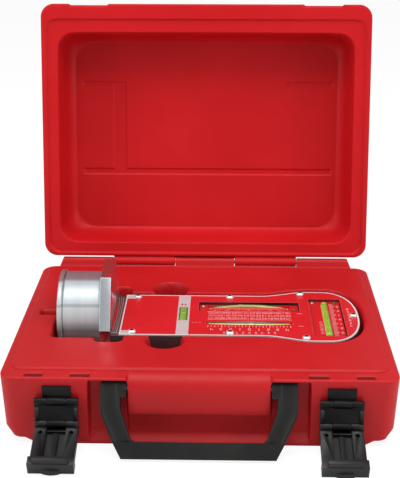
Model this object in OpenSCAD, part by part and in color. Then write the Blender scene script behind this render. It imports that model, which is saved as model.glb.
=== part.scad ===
// Camber caster gauge lying in its open carrying case.
// Origin: centre of the case's underside. X runs along the hinge, Y to the back, Z up.

/* [Case] */
// Width of the case along the hinge
case_w = 350; // [350:1:360]
// Depth of the case, front to back
case_d = 270; // [270:1:276]
// Height of the rim ledge of the bottom half
base_h = 66.5; // [66:0.5:67]
// Depth of the lid behind its rim
lid_depth = 57; // [57:0.5:60]
// Radius of the upright corners
corner_r = 14; // [12:1:18]
// Thickness of the moulded plastic skin
skin = 2.4; // [2:0.1:2.6]
// Angle between the open lid and the closed lid, in degrees
lid_angle = 100; // [0:1:100]

/* [Handle] */
// Half of the handle's width at its pivots
handle_half_w = 86; // [84:1:88]
// Length from the pivot line to the outer edge of the grip
handle_length = 59.7; // [57:0.1:59.7]
// Forward lean of the resting handle from vertical, in degrees
handle_lean = 27.3; // [27:0.1:29]

/* [Latches] */
// Distance of each latch from the middle of the case
latch_x = 124; // [122:1:125]
// Width of a latch
latch_w = 38; // [36:1:39]
// Angle the open lever has turned down from its closed place, in degrees
lever_angle = 110; // [100:1:110]

/* [Gauge] */
// Height of the gauge's printed face above the case's underside
face_z = 66.5; // [66.5:0.1:67]
// Half width of the straight part of the body
body_half_w = 48.7; // [48:0.1:49]
// Half width of the round end of the body
bulb_half_w = 60; // [59:0.5:61]
// Distance of the gauge's centre line behind the middle of the case
gauge_y = 4.5; // [4:0.5:5]

/* [Magnetic head] */
// Height of the head's axis above the case's underside
head_z = 70.5; // [70:0.5:71]
// Radius of the magnet housing
housing_r = 38; // [37:0.5:38]
// Width across the flats of the six-sided flange
flange_flats = 88; // [86:1:88]
// Width of the flange along its axis
flange_w = 10; // [8:1:10]

/* [Hidden] */
$fn = 48;
cut = 1;                       // how far a cutter runs past the face it cuts

// Colours
case_red = [0.78, 0.07, 0.08];
label_red = [0.80, 0.08, 0.09];
black_plastic = [0.07, 0.07, 0.07];
bare_metal = [0.75, 0.75, 0.76];
steel = [0.55, 0.56, 0.58];
vial_green = [0.62, 0.85, 0.15];
brass = [0.80, 0.65, 0.30];
magnet_grey = [0.16, 0.16, 0.17];

// Case, bottom half
foot_h = 6.5;                  // height of the foot
foot_in = 16;                  // inset of the foot from the sides, at its top
foot_lean = 10;                // how far its ends slope in further
front_in = 3;                  // inset of the front and back at the foot
chamfer_h = 15;                // height at which the bottom chamfer ends
chamfer_in = 8.5;              // how far the chamfer cuts in at the sides
draft = 2.5;                   // inward draft of the walls down to the chamfer
seam_z = base_h - skin;        // top of the outer skin, under the tray's flange
deck_z = base_h + 1.5;         // top of the raised deck
deck_w = 336;                  // width of the raised deck
deck_front = -118;             // front edge of the raised deck
deck_back = 130;               // back edge of the raised deck
deck_r = 12;                   // corner radius of the raised deck

ledge_slot_x = [104, 146];     // places of the short slots in the front ledge
ledge_slot_y = -130;
ledge_slot = [18, 2.5, 3];     // size of a slot, half of its depth below the ledge

// Handle recess in the front wall
channel_in = 63;               // inner side of a channel for a handle arm
channel_out = 97;              // outer side of that channel
channel_mid = (channel_in + channel_out) / 2;
channel_y = -122;              // bottom of the channels
band_y = -125;                 // recessed band below the bulge
band_z = 31;                   // top of that band
lip_y = -135;                  // where the lip below the recess would meet the ground
lip_slope = 0.86;              // rise of the lip towards the recess
bulge_y = -134.3;              // front of the bulge
bulge_z = 50;                  // height where the bulge starts to round over
bulge_back = -121;             // where the rounding meets the ledge

// Case hinge
hinge_y = case_d / 2 + 6;      // hinge line behind the case's back wall
hinge_z = base_h + 3.5;        // height of the hinge line
knuckle_r = 4.5;
pin_r = 2;
fit = 0.05;                    // running clearance on a radius
lug_in = 100;                  // inner end of the outer lugs
lug_out = 157;                 // outer end of the outer lugs
mid_lug = 32;                  // half length of the middle lug
knuckle_gap = 0.6;             // end clearance between lug and knuckle
lug_foot = 56;                 // height at which a lug leaves the back wall
back_y = case_d / 2;           // plane of the case's back wall
shelf_out = 4.2;               // how far the shelf below the knuckles stands out
lug_slope = 3.6;               // where a lug's slope meets its round end, behind the pin

// Lid, described closed
rim_z = base_h + 0.4;          // lid's rim plane
nest_depth = 1.9;              // step in the rim that clears the raised deck
lid_top = rim_z + lid_depth;
pocket_top_w = 318.6;
pocket_front = -106.5;
pocket_back = 121;
pocket_floor_w = 290;
floor_front = -87;
floor_back = 108;
pocket_depth = 50;
panel_depth = 1.5;             // extra depth of the panel over the gauge
gauge_panel = [-89, 90];       // sides of that panel
side_panel = [-137, 139];      // sides of the wider, shallower panel
panel_front = -52;             // front edge of the deep panels
panel_back = 44;               // back edge of the deep panels

// Handle and latch pivots
handle_y = -129;
handle_z = 55;
handle_pin_r = 2.5;
arm_w = 17;
handle_pin_in = 58;            // inner end of a handle pivot pin
handle_pin_out = 85;           // outer end of it, inside the handle's arm
grip_half_w = 66;              // half length of the grip's outer edge
grip_top = 47;                 // distance of the grip's inner edge from the pivot
handle_boss_r = 6;
handle_back = 3.5;             // handle thickness behind the pivot plane
handle_front = 5.5;            // handle thickness in front of it
bracket_seat = -case_d / 2 + 1.2; // bottom of the bracket's notch in the wall
bracket_half_w = 12.5;
bracket_z = [44.2, 58.8];      // bottom and top of a bracket
p1_y = -139;                   // link pivot on the bracket
p1_z = 46;
p2_y = -142;                   // lever pivot on the link
p2_z = 26;
latch_r = 3.2;
latch_pin_r = 1.4;
mid_knuckle = 8;               // half width of the middle knuckles
catch_recess = 20.5;           // half width of the recess that the lever closes into
catch_depth = 2;               // depth of that recess in the lid's front wall
catch_slot = 16;               // half width of the slot for the lever's hook
lever_back = -9;               // outer face of the closed lever, in front of its pivot
lever_skin = -7.4;             // inner face of the lever's web
lever_top = 48;                // top of the closed lever above its pivot
lever_rail = 42;               // top of the lever's side rails

// Gauge heights
plate_t = 1;
cast_top = face_z - plate_t;
cast_bottom = 43.5;
cover_t = 2;
pocket_z = cast_bottom - cover_t; // floor of the deck's pocket, where the gauge lies
deck_t = 3;                    // thickness of the casting's top
wall_t = 4;
body_left = -86;               // left end of the casting, against the flange
plate_left = -78;              // left edge of the printed plate
neck_end = 58;                 // where the sides start to flare
bulb_start = 106;              // where the flare reaches full width
bulb_x = 118;                  // centre of the round end
bulb_len = 35;                 // length of the round end
bulb_power = 2.35;             // exponent of the superellipse of the round end
screw_places = [[-66, 42.5], [-66, -42.5], [27, 43.5], [27, -43.5],
                [98.5, 53], [98.5, -53], [147.5, 0]];
face_screw_r = 3.65;
face_screw_h = 3;
socket_r = 1.45;               // hexagonal socket of the label's screws
socket_depth = 1.6;
end_hollow = 2;                // depth of the hollow in the end facing the flange
end_r = 485;                   // radius of that hollow
flange_screw_y = 20;
flange_screw_z = 54.5;
flange_screw_r = 3;
boss_r = 4.5;                  // radius of the casting's screw bosses
tapped_r = 1.55;               // radius of their holes
bar_z = [46, 51];              // bottom and top of the bars for the trim screws

// Pockets in the deck, measured from the gauge's centre line
body_gap = 5.5;                // room around the gauge's body
flange_pocket = [-102, -71];
flange_pocket_w = 138;
flange_pocket_z = 25;
head_pocket = [-143.5, -102];
head_pocket_w = 120;
head_pocket_z = 29.5;
pin_slot = [-161, -141];       // shallow notch in front of the head
pin_slot_w = 14;
pin_slot_z = 60;
finger_x = -33.7;              // round finger holes beside the body
finger_y = 62.5;
finger_r = 20;
finger_z = 33;
knob_pocket_r = 11;
knob_pocket_z = 34;

// Vials
level_x = -18.7;
level_y = 2;
level_w = 8;
level_len = 32;
camber_y = -20;
camber_x = [3, 88];
camber_z = 63.4;
camber_r = 3.4;
camber_slot_r = 3.7;           // half width of the slot over the camber vial
caster_x = [-4, 96];
caster_y = [9.5, 31.5];
caster_mid = 46;
caster_vial_y = 26;
caster_vial_len = 80;
caster_vial_r = 1.9;
caster_bulge_r = 216;          // radius the caster vial is bent to
caster_vial_z = 64.8;
groove_z = caster_vial_z - pow(caster_vial_len / 2, 2) / (2 * caster_bulge_r); // of its ends
kpi_x = [106, 138];
kpi_y = [-47.5, 41.5];
kpi_mid = -3;
kpi_vial_x = 121.5;
kpi_vial_len = 78;
kpi_vial_z = 63;
vial_r = 3.6;
window_gap = 0.8;
carrier_top = 63.8;
carrier_t = 3;
pivot_z = 56.5;
pivot_r = 1.5;
pivot_boss = 3.4;              // depth of a carrier's boss below its pivot
caster_screw = [90.5, 17];
kpi_screw = [132, 37];
trim_r = 2;
knob_r = 7;
knob_t = 4.5;
trim_len = 25.3;               // length of a trim screw's shank
scale_screw_x = 0.5;           // small screws at the caster carrier's left end
scale_screw_y = [13.5, 26.5];
kpi_scale_x = 110;             // small screw beside the other carrier's trim screw

// Head, left of the flange
flange_right = body_left;
flange_left = flange_right - flange_w;
ring_right = -133;
ring_left = -137.5;
bore_r = 33;                   // inside radius of the magnet housing
magnet_face = -136.5;
magnet_back = -116;
pole_back = -112;
guide_r = 13.8;
guide_bore = 8;
nose_r = 4.5;
spring_wire = 0.9;
spring_turns = 6;

// ---- shared shapes ----

module rounded_rect(w, d, r) {
    square([w - 2 * r, d], center = true);
    square([w, d - 2 * r], center = true);
    for (sx = [-1, 1], sy = [-1, 1])
        translate([sx * (w / 2 - r), sy * (d / 2 - r)]) circle(r = r);
}

// a slab between two heights with rounded corners
module slab(w, d, r, z0, z1) {
    translate([0, 0, z0]) linear_extrude(z1 - z0) rounded_rect(w, d, r, $fn = 32);
}

// a box given by its two corners
module block(a, b) {
    translate(a) cube(b - a);
}

// a cylinder along X between two stations
module rod_x(r, x0, x1, y, z) {
    translate([x0, y, z]) rotate([0, 90, 0]) cylinder(r = r, h = x1 - x0);
}

// a cylinder along Y between two stations
module rod_y(r, y0, y1, x, z) {
    translate([x, y0, z]) rotate([-90, 0, 0]) cylinder(r = r, h = y1 - y0);
}

// a profile drawn in Y and Z, extruded along X between two stations
module along_x(x0, x1) {
    translate([x0, 0, 0]) rotate([90, 0, 90]) linear_extrude(x1 - x0) children();
}

// ---- case, bottom half ----

module base_block(g) {
    hull() {
        slab(case_w - 2 * (chamfer_in + g), case_d - 2 * (front_in + g), corner_r,
             foot_h + g, foot_h + g + 0.5);
        slab(case_w - 2 * (draft + g), case_d - 2 * (draft + g), corner_r,
             chamfer_h, chamfer_h + 0.5);
        slab(case_w - 2 * g, case_d - 2 * g, corner_r, seam_z - 0.5, seam_z);
    }
    hull() {
        slab(case_w - 2 * (foot_in + foot_lean + g), case_d - 2 * (front_in + 0.5 + g), corner_r,
             g, g + 0.5);
        slab(case_w - 2 * (foot_in + g), case_d - 2 * (front_in + 0.1 + g), corner_r,
             foot_h + g - 0.1, foot_h + g + 0.4);
    }
}

// the lip that closes the handle's recess below, up to a wall at y; g moves it inwards
function lip(y, g) =
    [[-case_d / 2 - 20, -cut], [lip_y + 1.5 * g, -cut],
     [y + g, (y - lip_y) * lip_slope - 0.45 * g]];

// section of the space in front of the rounded bulge; g moves its wall inwards
module recess_profile(g) {
    polygon(concat(
        lip(band_y, g),
        [[band_y + g, band_z + g], [bulge_y + g, band_z + g + 1.5]],
        [for (a = [180 : -10 : 90])
            [bulge_back + (bulge_back - bulge_y - g) * cos(a),
             bulge_z + (base_h - bulge_z - g) * sin(a)]],
        [[bulge_back, base_h + 20], [-case_d / 2 - 20, base_h + 20]]));
}

module handle_recess(g) {
    along_x(-channel_in - g, channel_in + g) recess_profile(g);
    for (s = [-1, 1]) {
        half = (channel_out - channel_in) / 2 + g;
        along_x(s * channel_mid - half, s * channel_mid + half)
            polygon(concat(lip(channel_y, g), [[channel_y + g, seam_z + 0.01],
                                               [-case_d / 2 - 20, seam_z + 0.01]]));
    }
}

module hinge_lug(x0, x1) {
    along_x(x0, x1)
        polygon([[back_y - 1.5, lug_foot], [back_y - 1.5, seam_z],
                 [back_y + 0.1, seam_z], [back_y + 0.1, base_h - 0.3],
                 [back_y + 2.5, base_h - 0.3], [hinge_y, hinge_z],
                 [hinge_y + lug_slope, hinge_z - 2.7]]);
    rod_x(knuckle_r, x0, x1, hinge_y, hinge_z);
}

// shelf along the back wall under the lid's knuckles
module hinge_shelf() {
    along_x(-lug_out, lug_out)
        polygon([[back_y - 1.5, lug_foot + 1], [back_y - 1.5, seam_z],
                 [back_y + shelf_out, seam_z]]);
}

module case_base_shell() {
    color(case_red) difference() {
        union() {
            difference() {
                base_block(0);
                handle_recess(0);
            }
            hinge_lug(-lug_out, -lug_in);
            hinge_lug(lug_in, lug_out);
            hinge_lug(-mid_lug, mid_lug);
            hinge_shelf();
        }
        difference() {
            union() {
                base_block(skin);
                slab(case_w - 2 * skin, case_d - 2 * skin, corner_r - skin, seam_z - 1, seam_z + cut);
            }
            handle_recess(skin);
        }
        rod_x(pin_r + fit, -lug_out - cut, lug_out + cut, hinge_y, hinge_z);
        for (s = [-1, 1]) {
            translate([s * (handle_pin_in + 4), 0, 0])
                rod_x(handle_pin_r + fit, -4.5, 4.5, handle_y, handle_z);
            block([s * latch_x - bracket_half_w - 0.2, -case_d / 2 - 2, bracket_z[0] - 0.2],
                  [s * latch_x + bracket_half_w + 0.2, bracket_seat, bracket_z[1] + 0.2]);
        }
    }
}

// half width of the gauge's outline at x, left of the round end
function side_w(x) =
    let (t = max(0, min(1, (x - neck_end) / (bulb_start - neck_end))))
    body_half_w + (bulb_half_w - body_half_w) * t * t * (3 - 2 * t);

// upper half of the outline from left to right, grown by g
function half_outline(left, g) = concat(
    [[left, body_half_w + g]],
    [for (i = [0 : 8])
        let (x = neck_end + i * (bulb_start - neck_end) / 8)
        [x, side_w(x) + g]],
    [for (a = [90 : -7.5 : 0])
        [bulb_x + (bulb_len + g) * pow(cos(a), 2 / bulb_power),
         (bulb_half_w + g) * pow(max(0, sin(a)), 2 / bulb_power)]]);

function mirrored(pts) = [for (i = [len(pts) - 1 : -1 : 0]) [pts[i][0], -pts[i][1]]];

module body_outline(left, g) {
    top = half_outline(left, g);
    polygon(concat(top, mirrored([for (i = [0 : len(top) - 2]) top[i]])));
}

module at_gauge() {
    translate([0, gauge_y, 0]) children();
}

// a pocket between two stations along X, w wide, down to z
module pocket(x, w, z, g, top) {
    block([x[0] - g, -w / 2 - g, z - g], [x[1] + g, w / 2 + g, top]);
}

// the pockets in the deck; g grows them sideways and downwards into the skin around them
module pockets(g, top) {
    at_gauge() {
        translate([0, 0, pocket_z - g]) linear_extrude(top - pocket_z + g)
            body_outline(body_left - 4, body_gap + g);
        pocket(flange_pocket, flange_pocket_w, flange_pocket_z, g, top);
        pocket(head_pocket, head_pocket_w, head_pocket_z, g, top);
        pocket(pin_slot, pin_slot_w, pin_slot_z, g, top);
        for (s = [-1, 1])
            translate([finger_x, s * finger_y, finger_z - g])
                cylinder(r = finger_r + g, h = top - finger_z + g);
        for (p = [caster_screw, kpi_screw])
            translate([p[0], p[1], knob_pocket_z - g])
                cylinder(r = knob_pocket_r + g, h = top - knob_pocket_z + g);
    }
}

module case_base_tray() {
    color(case_red) difference() {
        union() {
            slab(case_w, case_d, corner_r, seam_z, base_h);
            translate([0, (deck_front + deck_back) / 2, 0])
                slab(deck_w, deck_back - deck_front, deck_r, seam_z + 0.2, deck_z);
            pockets(skin, seam_z + 1);
        }
        pockets(0, deck_z + cut);
        along_x(-channel_in, channel_in) recess_profile(0);
        for (s = [-1, 1], x = ledge_slot_x)
            translate([s * x, ledge_slot_y, base_h]) cube(ledge_slot, center = true);
    }
}

module hinge_pin(x0, x1) {
    color(steel) rod_x(pin_r, x0, x1, hinge_y, hinge_z);
}

module hinge_pin_left() {
    hinge_pin(-lug_out + 3, -18);
}

module hinge_pin_right() {
    hinge_pin(18, lug_out - 3);
}

// ---- lid ----

// turns the closed lid to its open place
module opened() {
    translate([0, hinge_y, hinge_z]) rotate([-lid_angle, 0, 0])
        translate([0, -hinge_y, -hinge_z]) children();
}

module lid_block(g) {
    hull() {
        slab(case_w - 2 * g, case_d - 2 * g, corner_r, rim_z + skin, rim_z + skin + 0.5);
        slab(case_w - 2 * (draft + g), case_d - 2 * (draft + g), corner_r, lid_top - 10, lid_top - 9.5);
        slab(case_w - 2 * (draft + 5 + g), case_d - 2 * (draft + 5 + g), corner_r,
             lid_top - g - 0.5, lid_top - g);
    }
}

module lid_knuckle(x0, x1) {
    along_x(x0, x1)
        polygon([[back_y - 1.2, rim_z + 2.6], [back_y - 1.2, rim_z + 14],
                 [back_y + 1, rim_z + 13], [hinge_y + 2.6, hinge_z + lug_slope],
                 [hinge_y, hinge_z], [back_y + 1.6, hinge_z - 0.2]]);
    rod_x(knuckle_r, x0, x1, hinge_y, hinge_z);
}

module case_lid_shell() {
    color(case_red) opened() difference() {
        union() {
            difference() {
                lid_block(0);
                difference() {
                    union() {
                        lid_block(skin);
                        slab(case_w - 2 * skin, case_d - 2 * skin, corner_r - skin,
                             rim_z + skin - cut, rim_z + skin + 0.6);
                    }
                    for (s = [-1, 1])
                        translate([s * latch_x, -case_d / 2, rim_z]) block([-22, 0, 0], [22, 8, 22]);
                }
            }
            for (s = [-1, 1])
                lid_knuckle(s > 0 ? mid_lug + knuckle_gap : -lug_in + knuckle_gap,
                            s > 0 ? lug_in - knuckle_gap : -mid_lug - knuckle_gap);
            // web that joins the two knuckles above the middle lug
            along_x(-mid_lug - knuckle_gap, mid_lug + knuckle_gap)
                polygon([[back_y - 1.2, rim_z + 2.6], [back_y - 1.2, rim_z + 14],
                         [back_y + 1, rim_z + 13], [back_y + 3.3, hinge_z + 5.4],
                         [back_y + 0.9, hinge_z + 1.4]]);
        }
        rod_x(pin_r + fit, -lug_in, lug_in, hinge_y, hinge_z);
        for (s = [-1, 1]) translate([s * latch_x, -case_d / 2, rim_z]) {
            block([-catch_recess, -cut, -cut], [catch_recess, catch_depth, 16]);
            block([-catch_slot, -cut, skin + 0.1], [catch_slot, catch_depth + 3, 9]);
        }
    }
}

// the lid's pocket, tapering from the rim to its floor
module lid_pocket(g, lower) {
    hull() {
        translate([0, (pocket_front + pocket_back) / 2, 0])
            slab(pocket_top_w + 2 * g, pocket_back - pocket_front + 2 * g, 16,
                 rim_z + nest_depth - lower, rim_z + nest_depth + 0.5);
        translate([0, (floor_front + floor_back) / 2, 0])
            slab(pocket_floor_w + 2 * g, floor_back - floor_front + 2 * g, 14,
                 rim_z + pocket_depth + g - 0.5, rim_z + pocket_depth + g);
    }
    block([gauge_panel[0] - g, floor_front - g, rim_z + pocket_depth - 1],
          [gauge_panel[1] + g, panel_back + g, rim_z + pocket_depth + panel_depth + g]);
    block([side_panel[0] - g, panel_front - g, rim_z + pocket_depth - 1],
          [side_panel[1] + g, panel_back + g, rim_z + pocket_depth + panel_depth * 0.8 + g]);
}

module case_lid_liner() {
    nest_w = deck_w + 2;
    nest_d = deck_back - deck_front + 2;
    color(case_red) opened() difference() {
        union() {
            slab(case_w, case_d, corner_r, rim_z, rim_z + skin);
            translate([0, (deck_front + deck_back) / 2, 0])
                slab(nest_w + 2, nest_d + 2, deck_r, rim_z + 0.4, rim_z + nest_depth + skin - 0.4);
            lid_pocket(2, 0);
        }
        translate([0, (deck_front + deck_back) / 2, 0])
            slab(nest_w, nest_d, deck_r, rim_z - cut, rim_z + nest_depth);
        lid_pocket(0, cut);
        for (s = [-1, 1]) translate([s * latch_x, -case_d / 2, rim_z])
            block([-catch_recess, -cut, -cut], [catch_recess, catch_depth, skin + cut]);
    }
}

// ---- handle ----

// half of the handle's outline: across, and down from the pivot
arm_points = [[handle_half_w - arm_w, 0], [handle_half_w, 0], [handle_half_w, 22],
              [handle_half_w - 12, 49], [grip_half_w, handle_length], [0, handle_length],
              [0, grip_top], [grip_half_w - 8, grip_top], [handle_half_w - 18, 20.5]];

module carry_handle() {
    color(black_plastic) translate([0, handle_y, handle_z]) rotate([-handle_lean, 0, 0])
        difference() {
            for (s = [0, 1]) mirror([s, 0, 0]) {
                translate([0, handle_back, 0]) rotate([90, 0, 0])
                    linear_extrude(handle_back + handle_front)
                        polygon([for (p = arm_points) [p[0], -p[1]]]);
                rod_x(handle_boss_r, channel_in + 1.2, handle_half_w, 0, 0);
            }
            rod_x(handle_pin_r + fit, -handle_half_w - cut, handle_half_w + cut, 0, 0);
        }
}

module handle_pins() {
    color(steel) for (s = [0, 1]) mirror([s, 0, 0])
        rod_x(handle_pin_r, handle_pin_in, handle_pin_out, handle_y, handle_z);
}

// ---- latches ----

module latch_bracket(x) {
    color(black_plastic) difference() {
        union() {
            block([x - bracket_half_w, p1_y + 2, bracket_z[0]],
                  [x + bracket_half_w, bracket_seat, bracket_z[1]]);
            rod_x(latch_r, x - mid_knuckle, x + mid_knuckle, p1_y, p1_z);
        }
        rod_x(latch_pin_r + fit, x - 20, x + 20, p1_y, p1_z);
        for (s = [-1, 1])
            translate([x + s * (mid_knuckle + 6), 0, 0])
                block([-5.7, p1_y - 4, p1_z - 4], [5.7, p1_y + 3.6, p1_z + 3.6]);
    }
}

module latch_hinge_pin(x) {
    color(steel) rod_x(latch_pin_r, x - latch_w / 2 + 1, x + latch_w / 2 - 1, p1_y, p1_z);
}

module latch_lever_pin(x) {
    color(steel) rod_x(latch_pin_r, x - latch_w / 2 + 1, x + latch_w / 2 - 1, p2_y, p2_z);
}

// the link, a plate between the two pivots
module latch_link(x) {
    side = latch_w / 2;
    color(black_plastic) difference() {
        union() {
            along_x(x - side, x + side)
                polygon([[p1_y - 1.2, p1_z - 3.7], [p1_y + 1.2, p1_z - 3.7],
                         [p2_y + 1.2, p2_z + 3.7], [p2_y - 1.2, p2_z + 3.7]]);
            for (s = [-1, 1]) {
                x0 = x + (s > 0 ? mid_knuckle + 0.4 : -side);
                x1 = x + (s > 0 ? side : -mid_knuckle - 0.4);
                rod_x(latch_r, x0, x1, p1_y, p1_z);
                block([x0, p1_y - 2.2, p1_z - 4.5], [x1, p1_y + 0.8, p1_z]);
            }
            rod_x(latch_r, x - mid_knuckle, x + mid_knuckle, p2_y, p2_z);
            block([x - mid_knuckle, p2_y - 0.9, p2_z], [x + mid_knuckle, p2_y + 1.5, p2_z + 4.5]);
        }
        rod_x(latch_pin_r + fit, x - side - cut, x + side + cut, p1_y, p1_z);
        rod_x(latch_pin_r + fit, x - side - cut, x + side + cut, p2_y, p2_z);
    }
}

// the lever, drawn closed with its pivot at the origin and turned down to its open place
module latch_lever(x) {
    side = latch_w / 2;
    color(black_plastic) translate([x, p2_y, p2_z]) rotate([lever_angle, 0, 0]) difference() {
        union() {
            block([-side, lever_back, 4.2], [side, lever_skin, lever_top - 4]);
            for (s = [-1, 1]) {
                x0 = s > 0 ? mid_knuckle + 0.4 : -side;
                x1 = s > 0 ? side : -mid_knuckle - 0.4;
                rod_x(latch_r, x0, x1, 0, 0);
                block([x0, lever_back, -2.5], [x1, 0, 3]);
                block([x0, lever_back, 0], [x1, -2.2, lever_rail]);
            }
            block([-2.2, -8, 8], [2.2, -4, lever_rail]);
            // cross rib above the middle knuckle
            block([-side + 1, lever_back, 4.2], [side - 1, -4.2, 5.8]);
            block([-side - 0.8, lever_back, lever_rail - 3], [side + 0.8, 3, lever_top]);
            // hook that enters the lid's slot
            block([-side + 4, 2, 44.2], [side - 4, 8.2, 47.4]);
            // thumb tab
            intersection() {
                translate([0, 0, 31]) rotate([90, 0, 0]) cylinder(r = 19, h = -lever_back);
                block([-12, lever_back, lever_top - 1], [12, -4, lever_top + 3]);
            }
        }
        rod_x(latch_pin_r + fit, -side - cut, side + cut, 0, 0);
        for (s = [-1, 1])
            translate([s * 13.5, -6, 8]) rotate([-90, 0, 0]) cylinder(r = 1.8, h = 5);
    }
}

module latch_bracket_left() { latch_bracket(-latch_x); }
module latch_bracket_right() { latch_bracket(latch_x); }
module latch_hinge_pin_left() { latch_hinge_pin(-latch_x); }
module latch_hinge_pin_right() { latch_hinge_pin(latch_x); }
module latch_link_left() { latch_link(-latch_x); }
module latch_link_right() { latch_link(latch_x); }
module latch_lever_pin_left() { latch_lever_pin(-latch_x); }
module latch_lever_pin_right() { latch_lever_pin(latch_x); }
module latch_lever_left() { latch_lever(-latch_x); }
module latch_lever_right() { latch_lever(latch_x); }

// ---- gauge body ----

// the windows that the vials show through
module windows() {
    translate([level_x, level_y]) square([level_w + 0.4, level_len + 0.4], center = true);
    translate([(camber_x[0] + camber_x[1]) / 2, camber_y])
        square([camber_x[1] - camber_x[0] - 8, 2 * camber_slot_r], center = true);
    for (x = [camber_x[0] + 4, camber_x[1] - 4])
        translate([x, camber_y]) circle(r = camber_slot_r);
    translate([caster_x[0], caster_y[0]])
        square([caster_x[1] - caster_x[0], caster_y[1] - caster_y[0]]);
    translate([kpi_x[0], kpi_y[0]])
        square([kpi_x[1] - kpi_x[0], kpi_y[1] - kpi_y[0]]);
}

module gauge_body() {
    color(bare_metal) at_gauge() difference() {
        union() {
            difference() {
                translate([0, 0, cast_bottom]) linear_extrude(cast_top - cast_bottom)
                    body_outline(body_left, 0);
                translate([0, 0, cast_bottom - cut])
                    linear_extrude(cast_top - deck_t - cast_bottom + cut)
                        body_outline(body_left + 16, -wall_t);
            }
            for (p = screw_places)
                translate([p[0], p[1], cast_bottom]) cylinder(r = boss_r, h = cast_top - cast_bottom);
            // ears for the carriers' pivot pins
            for (y = [caster_y[0] - 4, caster_y[1] + 0.6])
                block([caster_mid - 4, y, pivot_z - 4], [caster_mid + 4, y + 3.4, cast_top - 1]);
            for (x = [kpi_x[0] - 4, kpi_x[1] + 0.6])
                block([x, kpi_mid - 4, pivot_z - 4], [x + 3.4, kpi_mid + 4, cast_top - 1]);
            // bars that the trim screws turn in
            block([caster_screw[0] - 5, -55, bar_z[0]], [caster_screw[0] + 5, 55, bar_z[1]]);
            block([caster_screw[0], kpi_screw[1] - 5, bar_z[0]],
                  [kpi_screw[0] + 12, kpi_screw[1] + 5, bar_z[1]]);
        }
        translate([0, 0, cast_top - deck_t - 4]) linear_extrude(deck_t + 4 + cut) windows();
        // shallow hollow in the end that faces the flange
        translate([body_left + end_hollow - end_r, 0, cast_bottom - cut])
            cylinder(r = end_r, h = cast_top - cast_bottom + 2 * cut, $fn = 180);
        for (p = screw_places) {
            translate([p[0], p[1], cast_top - 10]) cylinder(r = tapped_r, h = 10 + cut);
            translate([p[0], p[1], cast_bottom - cut]) cylinder(r = tapped_r, h = 8 + cut);
        }
        rod_y(pivot_r, caster_y[0] - 5, caster_y[1] + 5, caster_mid, pivot_z);
        rod_x(pivot_r, kpi_x[0] - 5, kpi_x[1] + 5, kpi_mid, pivot_z);
        for (p = [caster_screw, kpi_screw])
            translate([p[0], p[1], bar_z[0] - cut])
                cylinder(r = trim_r + fit, h = bar_z[1] - bar_z[0] + 2 * cut);
        for (s = [-1, 1])
            rod_x(flange_screw_r + fit, body_left - cut, body_left + 14, s * flange_screw_y, flange_screw_z);
    }
}

module face_plate() {
    color(label_red) at_gauge() difference() {
        translate([0, 0, cast_top]) linear_extrude(plate_t) body_outline(plate_left, -0.2);
        translate([0, 0, cast_top - cut]) linear_extrude(plate_t + 2 * cut) windows();
        for (p = screw_places)
            translate([p[0], p[1], cast_top - cut]) cylinder(r = 1.7, h = plate_t + 2 * cut);
    }
}

// pan head screws: a head with a sloped upper edge, and a shank
module pan_screw(r, h, shank_r, shank) {
    cylinder(r = r, h = h * 0.55);
    translate([0, 0, h * 0.55]) cylinder(r1 = r, r2 = r * 0.7, h = h * 0.45);
    translate([0, 0, -shank]) cylinder(r = shank_r, h = shank + 0.01);
}

module face_screws() {
    color(bare_metal) at_gauge() for (p = screw_places)
        translate([p[0], p[1], face_z]) difference() {
            pan_screw(face_screw_r, face_screw_h, 1.5, 9);
            translate([0, 0, face_screw_h - socket_depth])
                cylinder(r = socket_r, h = socket_depth + cut, $fn = 6);
        }
}

module back_cover() {
    color(bare_metal) at_gauge() difference() {
        translate([0, 0, cast_bottom - cover_t]) linear_extrude(cover_t) body_outline(body_left + 4, -0.6);
        for (p = screw_places) {
            translate([p[0], p[1], cast_bottom - cover_t - cut]) cylinder(r = 3.1, h = cut + 1.3);
            translate([p[0], p[1], cast_bottom - cover_t]) cylinder(r = 1.7, h = cover_t + cut);
        }
        for (p = [caster_screw, kpi_screw])
            translate([p[0], p[1], cast_bottom - cover_t - cut]) cylinder(r = 3.5, h = cover_t + 2 * cut);
    }
}

module back_screws() {
    color(steel) at_gauge() for (p = screw_places) {
        translate([p[0], p[1], cast_bottom - cover_t + 0.1]) difference() {
            cylinder(r = 3, h = 1.2);
            cube([4.6, 0.8, 1.2], center = true);
        }
        translate([p[0], p[1], cast_bottom - cover_t + 1]) cylinder(r = 1.5, h = 7);
    }
}

// ---- vials and their carriers ----

module level_vial() {
    color(vial_green) at_gauge() translate([level_x, level_y, face_z - 3.7])
        slab(level_w, level_len, 2, 0, 3.4);
}

module level_holder() {
    color(magnet_grey) at_gauge() translate([level_x, level_y, 0])
        difference() {
            slab(level_w + 6, level_len + 6, 2, cast_top - deck_t - 4, cast_top - deck_t);
            translate([0, 0, cast_top - deck_t - 1]) cube([level_w - 2, level_len - 2, 2.5], center = true);
        }
}

// the straight vial with its domed ends
module camber_tube() {
    rod_x(camber_r, camber_x[0] + 4, camber_x[1] - 4, camber_y, camber_z);
    for (x = [camber_x[0] + 4, camber_x[1] - 4])
        translate([x, camber_y, camber_z]) sphere(r = camber_r);
}

module camber_vial() {
    color(vial_green) at_gauge() camber_tube();
}

module camber_holder() {
    color(magnet_grey) at_gauge() difference() {
        block([camber_x[0] - 3, camber_y - 6, cast_top - deck_t - 6],
              [camber_x[1] + 3, camber_y + 6, cast_top - deck_t]);
        camber_tube();
    }
}

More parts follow.
